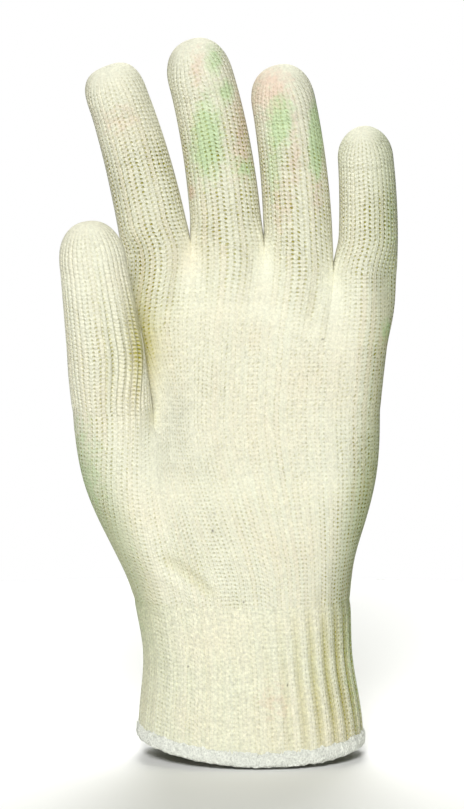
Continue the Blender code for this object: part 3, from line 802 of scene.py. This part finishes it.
class Number:
    """A number that a shader works out. Arithmetic on it adds math nodes."""

    def __init__(self, shader, socket):
        self.shader, self.socket = shader, socket

    def math(self, operation, *others):
        return self.shader.math(operation, self, *others)

    def __add__(self, other):
        return self.math("ADD", other)

    def __mul__(self, other):
        return self.math("MULTIPLY", other)

    def __sub__(self, other):
        return self.math("SUBTRACT", other)

    def __rsub__(self, other):
        return self.shader.math("SUBTRACT", other, self)

    def __truediv__(self, other):
        return self.math("DIVIDE", other)

    def __pow__(self, other):
        return self.math("POWER", other)

    def __abs__(self):
        return self.math("ABSOLUTE")

    __radd__ = __add__

    def part(self):
        return self.math("FRACT")

    def whole(self):
        return self.math("FLOOR")

    def wave(self):
        return self.math("SINE")

    def held(self):
        """The number kept from 0 to 1."""
        return self.math("MAXIMUM", 0.0).math("MINIMUM", 1.0)


class Shader:
    """One material's nodes."""

    def __init__(self, name, roughness, sheen):
        material = bpy.data.materials.get(name) or bpy.data.materials.new(name)
        material.use_nodes = True
        self.material, self.tree = material, material.node_tree
        self.tree.nodes.clear()
        values = {"Roughness": roughness, "Metallic": 0.0, "Specular IOR Level": 0.08}
        values.update({"Sheen Weight": sheen, "Sheen Roughness": 0.6})
        self.surface = self.node("ShaderNodeBsdfPrincipled", values)
        self.node("ShaderNodeOutputMaterial", {"Surface": self.surface.outputs[0]})

    def node(self, kind, inputs, **settings):
        """Adds a node, sets its settings and fills its inputs, by name or by number."""
        node = self.tree.nodes.new(kind)
        for key, value in settings.items():
            setattr(node, key, value)
        for key, value in inputs.items():
            self.fill(node.inputs[key], value)
        return node

    def fill(self, socket, value):
        if isinstance(value, Number):
            value = value.socket
        if isinstance(value, bpy.types.NodeSocket):
            self.tree.links.new(value, socket)
        elif socket.type == "RGBA":
            socket.default_value = (*value, 1.0)
        else:
            socket.default_value = value

    def math(self, operation, *terms):
        node = self.node("ShaderNodeMath", dict(enumerate(terms)), operation=operation)
        return Number(self, node.outputs[0])

    def attribute(self, name):
        return Number(self, self.node("ShaderNodeAttribute", {}, attribute_name=name).outputs["Fac"])

    def stitches(self):
        """The place in the knit: the wale and the course, each counted in stitches."""
        uv = self.node("ShaderNodeUVMap", {}, uv_map="stitches")
        parts = self.node("ShaderNodeSeparateXYZ", {0: uv.outputs[0]})
        return Number(self, parts.outputs[0]), Number(self, parts.outputs[1])

    def noise(self, scale, detail=2.0, roughness=0.5):
        """Noise of this many features to the metre, from about 0 to 1."""
        place = self.node("ShaderNodeTexCoord", {}).outputs["Object"]
        inputs = {"Vector": place, "Scale": scale, "Detail": detail, "Roughness": roughness}
        return Number(self, self.node("ShaderNodeTexNoise", inputs).outputs[0])

    def chance(self, first, second):
        """A number from 0 to 1 that is another one in each cell of two whole numbers."""
        cell = self.node("ShaderNodeCombineXYZ", {0: first, 1: second})
        noise = self.node("ShaderNodeTexWhiteNoise", {"Vector": cell.outputs[0]})
        return Number(self, noise.outputs["Value"])

    def blend(self, share, first, second, kind="MULTIPLY"):
        """The first colour, with this share of it mixed or multiplied with the second."""
        inputs = {0: share, 6: first, 7: second}
        node = self.node("ShaderNodeMix", inputs, data_type="RGBA", blend_type=kind, clamp_factor=True)
        return node.outputs[2]

    def dimmed(self, colour, share):
        """A colour times a number."""
        inputs = {0: colour, "Scale": share}
        return self.node("ShaderNodeVectorMath", inputs, operation="SCALE").outputs[0]

    def bump(self, height, distance):
        inputs = {"Height": height, "Distance": distance, "Strength": 1.0}
        self.fill(self.surface.inputs["Normal"], self.node("ShaderNodeBump", inputs).outputs[0])

    def colour(self, value):
        self.fill(self.surface.inputs["Base Color"], value)


def leg_height(shader, wale, course, slant):
    """The height of the two legs of each stitch. They lean apart, and no wale is level with the next."""
    side = abs(wale.part() - 0.5)
    along = (course + shader.chance(wale.whole(), 0.5) * STAGGER - side * slant).part()
    yarn = (along * pi).wave() ** 0.7
    across = 1 - (side * 4 - 1) ** 2
    return yarn * (0.35 + across * 0.65)


def gap_shape(shader, wale, course, width, tall):
    """A rounded gap between one wale and the next at each course, each as wide open as chance has it."""
    between = (wale + 0.5).whole()
    level = course + shader.chance(between, 1.5) * STAGGER
    edge = (((wale + 0.5).part() - 0.5) / width) ** 2
    end = ((level.part() - 0.5) / tall) ** 2
    opened = 0.1 + shader.chance(between, level.whole()) * 0.8 + shader.chance(between, 2.5) * 1.2
    return (1 - edge - end).held() ** 0.5 * opened


def knit_material(name, look, yarn, grain_share):
    """Knit of one yarn: the legs of its stitches, the gaps between them, painted shade, fibre, stains
    and specks.
    """
    shader = Shader(name, look.roughness, look.sheen)
    wale, course = shader.stitches()
    fine = shader.attribute("fine")
    patchy_width = 0.3 + shader.noise(WIDTH_NOISE, 1.0) * 1.4
    open_knit = shader.attribute("open_knit") * patchy_width
    loose = 1 - shader.attribute("tip") * 0.8
    fibre = shader.noise(FIBRE_NOISE, 3.0, 0.65)

    # The stitches, which are uneven, and finer where the knit is fine
    wander = (shader.noise(WANDER_NOISE) - 0.5) * 0.35
    unruly = wander + (shader.noise(STRAY_NOISE, 1.0) - 0.5) * (0.35 + fine * 0.5)
    course, coarse_wale, fine_wale = course + unruly, wale + unruly, wale * FINE_WALES + unruly
    coarse_leg = leg_height(shader, coarse_wale, course, 0.35)
    height = coarse_leg + (leg_height(shader, fine_wale, course, 0.6) - coarse_leg) * fine
    coarse_gap = gap_shape(shader, coarse_wale, course, 0.27, 0.27)
    gap = coarse_gap + (gap_shape(shader, fine_wale, course, 0.26, 0.3) - coarse_gap) * fine
    # Painted shade in the gaps between stitches and in the low parts between their legs, with the
    # painted shade of grooves, creases and the strip beside the thumb
    shade = (gap * open_knit * look.gap_depth + (1 - height) * (0.1 + open_knit) * 0.34) * loose
    shade = shade + shader.attribute("groove") * 0.5

    # The yarn drifts to a warmer colour in patches and from wale to wale
    patches = (shader.noise(PATCH_NOISE) - 0.35) * 1.4
    wale_chance = shader.chance(coarse_wale.whole(), 3.5)
    drift = (patches + (wale_chance - 0.5) * open_knit * 1.6).held()
    ragged = (shader.noise(RAGGED_NOISE, 2.0, 0.6) - 0.5) * 1.8
    # Green stains, along the sides partly painted shade, and pink stains
    green = (shader.attribute("green") * 2.8 + ragged - 0.5).held() * look.stains
    pink = (shader.attribute("pink") * 2.8 - ragged - 0.5).held() * look.stains
    colour = shader.blend(drift, yarn, look.warm, "MIX")
    colour = shader.blend(green, colour, look.green)
    colour = shader.blend(pink, colour, look.pink)
    # Painted shade at the sides
    colour = shader.blend(shader.attribute("dark").held(), colour, look.side)
    colour = shader.blend(shade.held(), colour, look.gap)
    colour = shader.blend(shader.attribute("specks").held(), colour, look.speck, "MIX")

    # Each stitch and each fibre is a little brighter or darker than the next
    stitch_tone = 0.97 + shader.chance(coarse_wale.whole(), course.whole()) * 0.04
    grain = shader.noise(GRAIN_NOISE, 2.0, 0.6)
    tone = stitch_tone * (0.84 + fibre * 0.3) * (1 + (grain - 0.5) * grain_share)
    shader.colour(shader.dimmed(colour, tone))
    relief = height * (0.3 + open_knit * 0.7) - gap * open_knit * 0.7
    shader.bump(relief * loose + fibre * 0.35, look.bump)
    return shader.material


def plain_knit(look):
    """The knit of palm, fingers and thumb."""
    return knit_material("liner_knit", look, look.yarn, PLAIN_GRAIN)


def thread_material(look):
    shader = Shader("liner_thread", look.roughness, look.sheen)
    wrap, turn = shader.stitches()
    strand = abs(((wrap + turn * 0.8) * pi).wave())
    fibre = shader.noise(THREAD_NOISE, 3.0, 0.7)
    tone = (0.97 + strand * 0.03) * (0.35 + fibre * 1.24)
    shader.colour(shader.dimmed(tuple(look.thread), tone))
    shader.bump(strand * 0.15 + fibre * 1.3, look.bump)
    return shader.material


def build_finger(position, look, material):
    finger = FINGERS[position]
    ring, middle = root_ring(position)
    width = finger.root * finger.tube * KNUCKLE_WIDTH
    depth = KNUCKLE_DEPTH * finger.root * finger.tube / (FINGERS[0].root * FINGERS[0].tube)
    length = finger.length * MIDDLE_FINGER_LENGTH
    size = (width, depth, length)
    rings, stations = finger_skin(finger.pose, *size, ring, middle, FINGER_COLUMNS, FINGER_DOME)
    wales = wale_numbers((rings.shape[1], FINGER_WALES))
    skin, shares = tube_skin(rings, stations, wales, look)
    attributes = knit_attributes(skin.points)
    add_tube(finger.name, skin, shares, attributes, material)


def build_thumb(look, material):
    size = (THUMB_WIDTH, THUMB_DEPTH, THUMB_LENGTH)
    root = (thumb_root(), thumb_middle())
    twist = (WEB_FRONT_ANGLE + WEB_BACK_ANGLE) / 2
    rings, stations = finger_skin(THUMB_POSE, *size, *root, THUMB_COLUMNS, THUMB_DOME, twist)
    rings = rings + grid_normals(rings) * puckers(rings)[..., None]
    wales = thumb_wale_numbers(SIDE_COLUMNS, WEB_WALES)
    skin, shares = tube_skin(rings, stations, wales, look)
    count = len(skin.points)
    attributes = {"open_knit": np.full(count, THUMB_OPEN), "fine": np.zeros(count)}
    add_tube("thumb", skin, shares, attributes, material)


def tube_skin(rings, stations, wales, look):
    """The skin of a finger or the thumb, open at its root and closed at its tip.

    It comes with the share of the length at each of its points, with 1 for the whole inner face.
    """
    normals = grid_normals(rings)
    courses = course_numbers(rings)
    root_fade = eased(np.arange(len(rings)) / 5)[:, None]
    tip_fade = eased((1 - stations) / 0.12)[:, None]
    relief = wale_relief(wales, root_fade * tip_fade, look.relief)
    front = rings[..., 1] < rings[..., 1].mean(axis=1)[:, None]
    folds = fold_height(rings) * front
    skin = Skin()
    outer = skin.add(rings + normals * relief[..., None] - BACK * folds[..., None])
    skin.strip(outer, wales, courses)
    skin.cap(outer[-1])
    rows = coarse_rows(len(rings))[:-1]
    normals[0, :, 2] = 0.0
    inner = skin.add(inner_face(rings, normals, rows))
    skin.lining(inner, wales, courses, rows)
    skin.cap(inner[-1], inward=True)
    skin.bottom_rim(outer[0], inner[0])
    inner_shares = np.ones(len(skin.points) - outer.size)
    return skin, np.concatenate((np.repeat(stations, rings.shape[1]), inner_shares))


def add_tube(name, skin, shares, attributes, material):
    """Adds a finger or the thumb, whose knit gets closer towards the tip."""
    attributes["open_knit"] = attributes["open_knit"] * (1 - 0.6 * ramp(shares, 0.45, 0.85))
    attributes["tip"] = ramp(shares, 0.9, 1.0)
    add_piece(name, skin, attributes, material)


def build_palm(material):
    heel_shares = np.linspace(0, 1, round(HEEL_LENGTH / ROW) + 1)
    palm_shares = np.linspace(0, 1, round(PALM_LENGTH / ROW) + 1)
    heel, upper = heel_rings(heel_shares), led_into_fingers(upper_palm_rings(palm_shares))
    web_points = SIDE_COLUMNS - 1
    kept = upper.shape[1] - web_points
    shared = slice(THUMB_COLUMNS, THUMB_COLUMNS + kept)
    heel_normals, upper_normals = grid_normals(heel), grid_normals(upper)
    heel = heel + front_folds(heel, heel_normals) + heel_normals * puckers(heel)[..., None]
    upper = upper + front_folds(upper, upper_normals)
    ribs = RIB_RELIEF * RIB_ENDS * (1 - eased(heel_shares * HEEL_LENGTH / RIBS_IN_HEEL))
    heel = heel - heel_normals * rib_depths(heel, ribs)[..., None]
    upper[0, :kept] = heel[-1, shared]

    skin = Skin()
    heel_numbers = skin.add(heel)
    upper_numbers = skin.add(upper[1:])
    web = skin.add(upper[0, -web_points:])
    fork = np.concatenate((heel_numbers[-1, shared], web))
    upper_numbers = np.concatenate((fork[None], upper_numbers))
    palm_columns = upper.shape[1] - SIDE_COLUMNS
    palm_wales = palm_columns * FINGER_WALES / (2 * FINGER_COLUMNS + 2 * SIDE_COLUMNS)
    wales_heel = thumb_wale_numbers(palm_columns, palm_wales)
    wales_upper = wale_numbers((upper.shape[1], palm_wales * upper.shape[1] / palm_columns))
    courses_heel, courses_upper = course_numbers(heel), course_numbers(upper)
    courses_heel -= courses_heel[-1]
    skin.strip(heel_numbers, wales_heel, courses_heel)
    skin.strip(upper_numbers, wales_upper, courses_upper)

    heel_rows, upper_rows = coarse_rows(len(heel)), coarse_rows(len(upper))
    heel_normals[0, :, 2] = 0.0
    upper_normals[-1, :, 2] = 0.0
    heel_inner = skin.add(inner_face(heel, heel_normals, heel_rows))
    upper_inner = inner_face(upper, upper_normals, upper_rows)
    web_inner = skin.add(upper_inner[0, 1 - SIDE_COLUMNS // COLUMN_POINTS :])
    coarse_thumb = THUMB_COLUMNS // COLUMN_POINTS
    coarse_shared = slice(coarse_thumb, coarse_thumb + upper_inner.shape[1] - len(web_inner))
    coarse_fork = np.concatenate((heel_inner[-1, coarse_shared], web_inner))
    upper_inner = np.concatenate((coarse_fork[None], skin.add(upper_inner[1:])))
    skin.lining(heel_inner, wales_heel, courses_heel, heel_rows)
    skin.lining(upper_inner, wales_upper, courses_upper, upper_rows)
    skin.bottom_rim(heel_numbers[0], heel_inner[0])
    skin.rim(upper_numbers[-1], upper_inner[-1])
    skin.rim(
        thumb_hole(heel_numbers[-1], web, shared),
        thumb_hole(heel_inner[-1], web_inner, coarse_shared),
    )

    attributes = knit_attributes(skin.points)
    front = skin.points[:, 1] < 0
    # Painted shade in the creases where folds lie in the front
    attributes["groove"] = np.clip(-fold_height(skin.points), 0, 1) * 0.3 * front
    add_piece("palm", skin, attributes, material)


def thumb_hole(top, web, shared):
    """The edge that the thumb grows from: the heel's top but for what the palm shares, and the web."""
    return np.concatenate((top[: shared.start + 1], web[::-1], top[shared.stop - 1 :]))


def build_cuff(look, material):
    shares = np.linspace(0, 1, round(CUFF_HEIGHT / ROW) + 1)
    rings = cuff_rings(shares, 0.0)
    normals = grid_normals(rings)
    middle = np.sin(pi * np.clip(shares * 1.05, 0, 1)) ** 0.6
    ribs = rib_depths(rings, RIB_RELIEF * (RIB_ENDS + (1 - RIB_ENDS) * middle))
    wales = wale_numbers((rings.shape[1], CUFF_WALES))
    courses = course_numbers(rings)
    row = np.arange(len(rings))
    ends = (eased(row / 4) * eased(row[::-1] / 4))[:, None]
    relief = wale_relief(wales, ends, look.relief / 2)
    outer_points = rings - normals * (ribs - relief)[..., None] + front_folds(rings, normals)
    skin = Skin()
    outer = skin.add(outer_points)
    skin.strip(outer, wales, courses)
    rows = coarse_rows(len(rings))
    inner = skin.add(cuff_rings(shares[rows], CUFF_WALL)[:, ::COLUMN_POINTS])
    skin.lining(inner, wales, courses, rows)
    skin.bottom_rim(outer[0], inner[0])
    skin.rim(outer[-1], inner[-1])
    # Painted shade in the grooves between the ribs, stronger towards the right side
    rib_shade_share = 0.25 + 1.25 * ramp(outer_points[..., 0], -2.0, 30.0)
    attributes = knit_attributes(skin.points)
    attributes["groove"] = np.zeros(len(skin.points))
    attributes["groove"][outer.ravel()] = (ribs * rib_shade_share).ravel()
    attributes["open_knit"] += CUFF_OPEN - PALM_OPEN - HEEL_MORE_OPEN
    add_piece("cuff", skin, attributes, material)


def build_hem(material):
    """The overlocked edge: slanted, uneven wraps of thread round the cuff's lower rim."""
    half_width, half_depth = (CUFF_WIDTH - CUFF_WALL) / 2, (CUFF_DEPTH - CUFF_WALL) / 2
    middle = HEM_HEIGHT / 2
    count = HEM_WRAPS * WRAP_POINTS
    random = np.random.default_rng(7)
    wander = smoothed(random.normal(0, 1, count), 5) * WRAP_WANDER
    rows = []
    for step in range(HEM_SIDES):
        turn = 2 * pi * step / HEM_SIDES
        swell = powered(cos(turn), 2 / HEM_SQUARE) * HEM_THICKNESS / 2
        lift = powered(sin(turn), 2 / HEM_SQUARE) * HEM_HEIGHT / 2
        lift = lift * (HEM_RISE if lift > 0 else 1.0)
        shape = (half_width + swell, half_depth + swell, CUFF_SQUARE)
        ring = level_oval(0.0, 0.0, middle, *shape, count // 2, 0)
        slant = step / HEM_SIDES * WRAP_SLANT
        wraps = np.abs(np.sin(pi * (np.arange(count) / WRAP_POINTS + slant + wander)))
        lumps = smoothed(random.normal(0, 1, count), 4)
        bulge = WRAP_RELIEF * (wraps - 0.6) + (LUMP_HEIGHT + UPPER_LUMPS * max(sin(turn), 0)) * lumps
        outward = ring - np.array((0.0, 0.0, middle))
        outward /= np.linalg.norm(outward, axis=1)[:, None]
        ring = ring + outward * (bulge * cos(turn))[:, None]
        ring[:, 2] += np.maximum(lift + bulge * sin(turn) + hem_droop(ring), -middle)
        rows.append(ring)
    skin = Skin()
    numbers = skin.add(np.array(rows))
    numbers = np.concatenate((numbers, numbers[:1]))
    skin.strip(numbers, wale_numbers((count, HEM_WRAPS)), np.arange(HEM_SIDES + 1) / HEM_SIDES * 2)
    add_piece("hem_edging", skin, {}, material)


def smoothed(values, reach):
    """Random values round a ring, averaged with their neighbours but about as far apart as before."""
    return averaged(values[:, None], reach)[:, 0] * reach**0.5


def aim(thing, target):
    thing.rotation_euler = (Vector(target) - thing.location).to_track_quat("-Z", "Y").to_euler()


def add_light(light, power):
    data = bpy.data.lights.new(light.name, "AREA")
    data.shape = "DISK"
    data.size = light.size
    data.energy = power
    lamp = bpy.data.objects.new(light.name, data)
    lamp.location = light.place
    aim(lamp, light.target)
    bpy.context.scene.collection.objects.link(lamp)


def add_floor(look):
    """A round, plain floor."""
    turns = [2 * pi * step / FLOOR_SIDES for step in range(FLOOR_SIDES)]
    points = [(FLOOR_RADIUS * cos(turn), FLOOR_RADIUS * sin(turn), FLOOR_LEVEL) for turn in turns]
    mesh = bpy.data.meshes.new("floor")
    mesh.from_pydata(points, [], [range(FLOOR_SIDES)])
    shader = Shader("floor", 0.9, 0.0)
    shader.colour(look.floor)
    mesh.materials.append(shader.material)
    floor = bpy.data.objects.new("floor", mesh)
    bpy.context.scene.collection.objects.link(floor)


def add_camera(look):
    data = bpy.data.cameras.new("camera")
    data.lens = look.lens
    data.sensor_width = PICTURE_HEIGHT
    camera = bpy.data.objects.new("camera", data)
    back = Vector((0.0, -cos(look.elevation), sin(look.elevation)))
    target = Vector(CAMERA_TARGET) * MM
    camera.location = target + back * look.distance
    aim(camera, target)
    bpy.context.scene.collection.objects.link(camera)
    bpy.context.scene.camera = camera


def set_world(look):
    """Dim, tinted light from all round, and a plain white background."""
    world = bpy.data.worlds.get("studio") or bpy.data.worlds.new("studio")
    world.use_nodes = True
    nodes, links = world.node_tree.nodes, world.node_tree.links
    nodes.clear()
    room, plain = nodes.new("ShaderNodeBackground"), nodes.new("ShaderNodeBackground")
    room.inputs["Color"].default_value = (*look.sky, 1.0)
    room.inputs["Strength"].default_value = look.sky_strength
    plain.inputs["Color"].default_value = (1.0, 1.0, 1.0, 1.0)
    seen, mix = nodes.new("ShaderNodeLightPath"), nodes.new("ShaderNodeMixShader")
    links.new(seen.outputs["Is Camera Ray"], mix.inputs[0])
    links.new(room.outputs[0], mix.inputs[1])
    links.new(plain.outputs[0], mix.inputs[2])
    links.new(mix.outputs[0], nodes.new("ShaderNodeOutputWorld").inputs["Surface"])
    bpy.context.scene.world = world


def colour_property(name, description, default):
    return bpy.props.FloatVectorProperty(
        name=name, description=description, default=default, subtype="COLOR", min=0.0, max=1.0
    )


def number_property(name, description, default, **settings):
    return bpy.props.FloatProperty(name=name, description=description, default=default, **settings)


def factor_property(name, description, default):
    return number_property(name, description, default, subtype="FACTOR", min=0.0, max=1.0)


class LinerYarn(bpy.types.PropertyGroup):
    yarn: colour_property("Yarn", "Colour of the undyed cotton", (0.87, 0.865, 0.72))
    warm: colour_property("Warm yarn", "Colour that the yarn drifts to in patches", (0.885, 0.82, 0.655))
    cuff_yarn: colour_property("Cuff yarn", "Colour of the ribbed cuff", (0.82, 0.82, 0.665))
    thread: colour_property("Edge thread", "Colour of the overlocked edge", (0.86, 0.875, 0.81))
    gap: colour_property("Gaps", "What the shade between stitches does to the yarn", (0.44, 0.40, 0.04))
    green: colour_property("Green stain", "What the green stains do to the yarn", (0.60, 0.90, 0.54))
    pink: colour_property("Pink stain", "What the pink stains do to the yarn", (0.98, 0.70, 0.70))
    # The colour of the painted shade at the sides
    side: colour_property("Sides", "What the darker sides do to the yarn", (0.5, 0.59, 0.42))
    speck: colour_property("Specks", "Colour of the bits of husk", (0.10, 0.08, 0.05))
    gap_depth: factor_property("Gap depth", "How dark the gaps between stitches are", 1.0)
    stains: factor_property("Stains", "How strong the faint stains are", 0.6)
    roughness: factor_property("Roughness", "Roughness of the yarn", 0.92)
    sheen: factor_property("Sheen", "Soft shine of the fibres at grazing angles", 0.04)
    relief: number_property(
        "Relief", "How far the wales stand up", 0.00016, unit="LENGTH", precision=5
    )
    bump: number_property(
        "Stitch depth", "Depth of the shaded stitches", 0.0005, unit="LENGTH", precision=5
    )


class LinerStage(bpy.types.PropertyGroup):
    floor: colour_property("Floor", "Colour of the floor", (0.93, 0.93, 0.93))
    sky: colour_property("Room light", "Colour of the light from all round", (0.92, 1.0, 0.5))
    sky_strength: number_property("Room strength", "Strength of the light from all round", 0.08, min=0.0)
    key_power: number_property("Key", "Power of the light in front", 21.4, unit="POWER")
    back_power: number_property("Back", "Power of the light from behind", 7.0, unit="POWER")
    top_power: number_property("Top", "Power of the light over the floor", 15.0, unit="POWER")
    lens: number_property("Lens", "Focal length on a 36 mm high picture", 118.5, unit="CAMERA")
    distance: number_property("Distance", "From the camera to the liner", 0.9, unit="LENGTH")
    elevation: number_property(
        "Elevation", "How far the camera looks down", radians(4.5), unit="ROTATION"
    )


class LinerOperator:
    bl_options = {"REGISTER", "UNDO"}
    settings = "liner_yarn"

    def execute(self, context):
        self.build(getattr(context.scene, self.settings))
        return {"FINISHED"}


class LINER_OT_palm(LinerOperator, bpy.types.Operator):
    """Build the palm of the liner, which forks into thumb and fingers"""

    bl_idname = "liner.palm"
    bl_label = "Palm"

    def build(self, yarn):
        build_palm(plain_knit(yarn))


class LINER_OT_fingers(LinerOperator, bpy.types.Operator):
    """Build the four fingers of the liner"""

    bl_idname = "liner.fingers"
    bl_label = "Fingers"

    def build(self, yarn):
        material = plain_knit(yarn)
        for position in range(len(FINGERS)):
            build_finger(position, yarn, material)


class LINER_OT_thumb(LinerOperator, bpy.types.Operator):
    """Build the thumb of the liner with its puckers"""

    bl_idname = "liner.thumb"
    bl_label = "Thumb"

    def build(self, yarn):
        build_thumb(yarn, plain_knit(yarn))


class LINER_OT_cuff(LinerOperator, bpy.types.Operator):
    """Build the ribbed elastic cuff"""

    bl_idname = "liner.cuff"
    bl_label = "Cuff"

    def build(self, yarn):
        build_cuff(yarn, knit_material("liner_cuff", yarn, yarn.cuff_yarn, CUFF_GRAIN))


class LINER_OT_hem(LinerOperator, bpy.types.Operator):
    """Build the overlocked edge round the opening for the hand"""

    bl_idname = "liner.hem"
    bl_label = "Hem"

    def build(self, yarn):
        build_hem(thread_material(yarn))


class LINER_OT_stage(LinerOperator, bpy.types.Operator):
    """Set up the floor, the light and the camera"""

    bl_idname = "liner.stage"
    bl_label = "Stage"
    settings = "liner_stage"

    def build(self, stage):
        add_floor(stage)
        for light in LIGHTS:
            add_light(light, getattr(stage, f"{light.name}_power"))
        set_world(stage)
        add_camera(stage)
        bpy.context.scene.view_settings.view_transform = "Standard"


class LINER_PT_panel(bpy.types.Panel):
    """Lists the steps that build the liner"""

    bl_label = "Glove liner"
    bl_idname = "LINER_PT_panel"
    bl_space_type = "VIEW_3D"
    bl_region_type = "UI"
    bl_category = "Liner"

    def draw(self, context):
        for step in STEPS:
            self.layout.operator(step.bl_idname)
        for group in (context.scene.liner_yarn, context.scene.liner_stage):
            column = self.layout.column()
            for key in group.bl_rna.properties.keys():
                if key not in ("rna_type", "name"):
                    column.prop(group, key)


STEPS = (LINER_OT_palm, LINER_OT_fingers, LINER_OT_thumb, LINER_OT_cuff, LINER_OT_hem, LINER_OT_stage)
CLASSES = (LinerYarn, LinerStage, *STEPS, LINER_PT_panel)


def register():
    for item in CLASSES:
        bpy.utils.register_class(item)
    bpy.types.Scene.liner_yarn = bpy.props.PointerProperty(type=LinerYarn)
    bpy.types.Scene.liner_stage = bpy.props.PointerProperty(type=LinerStage)


def unregister():
    del bpy.types.Scene.liner_yarn
    del bpy.types.Scene.liner_stage
    for item in reversed(CLASSES):
        bpy.utils.unregister_class(item)


def main():
    register()
    bpy.ops.liner.palm()
    bpy.ops.liner.fingers()
    bpy.ops.liner.thumb()
    bpy.ops.liner.cuff()
    bpy.ops.liner.hem()
    bpy.ops.liner.stage()


if __name__ == "__main__":
    main()
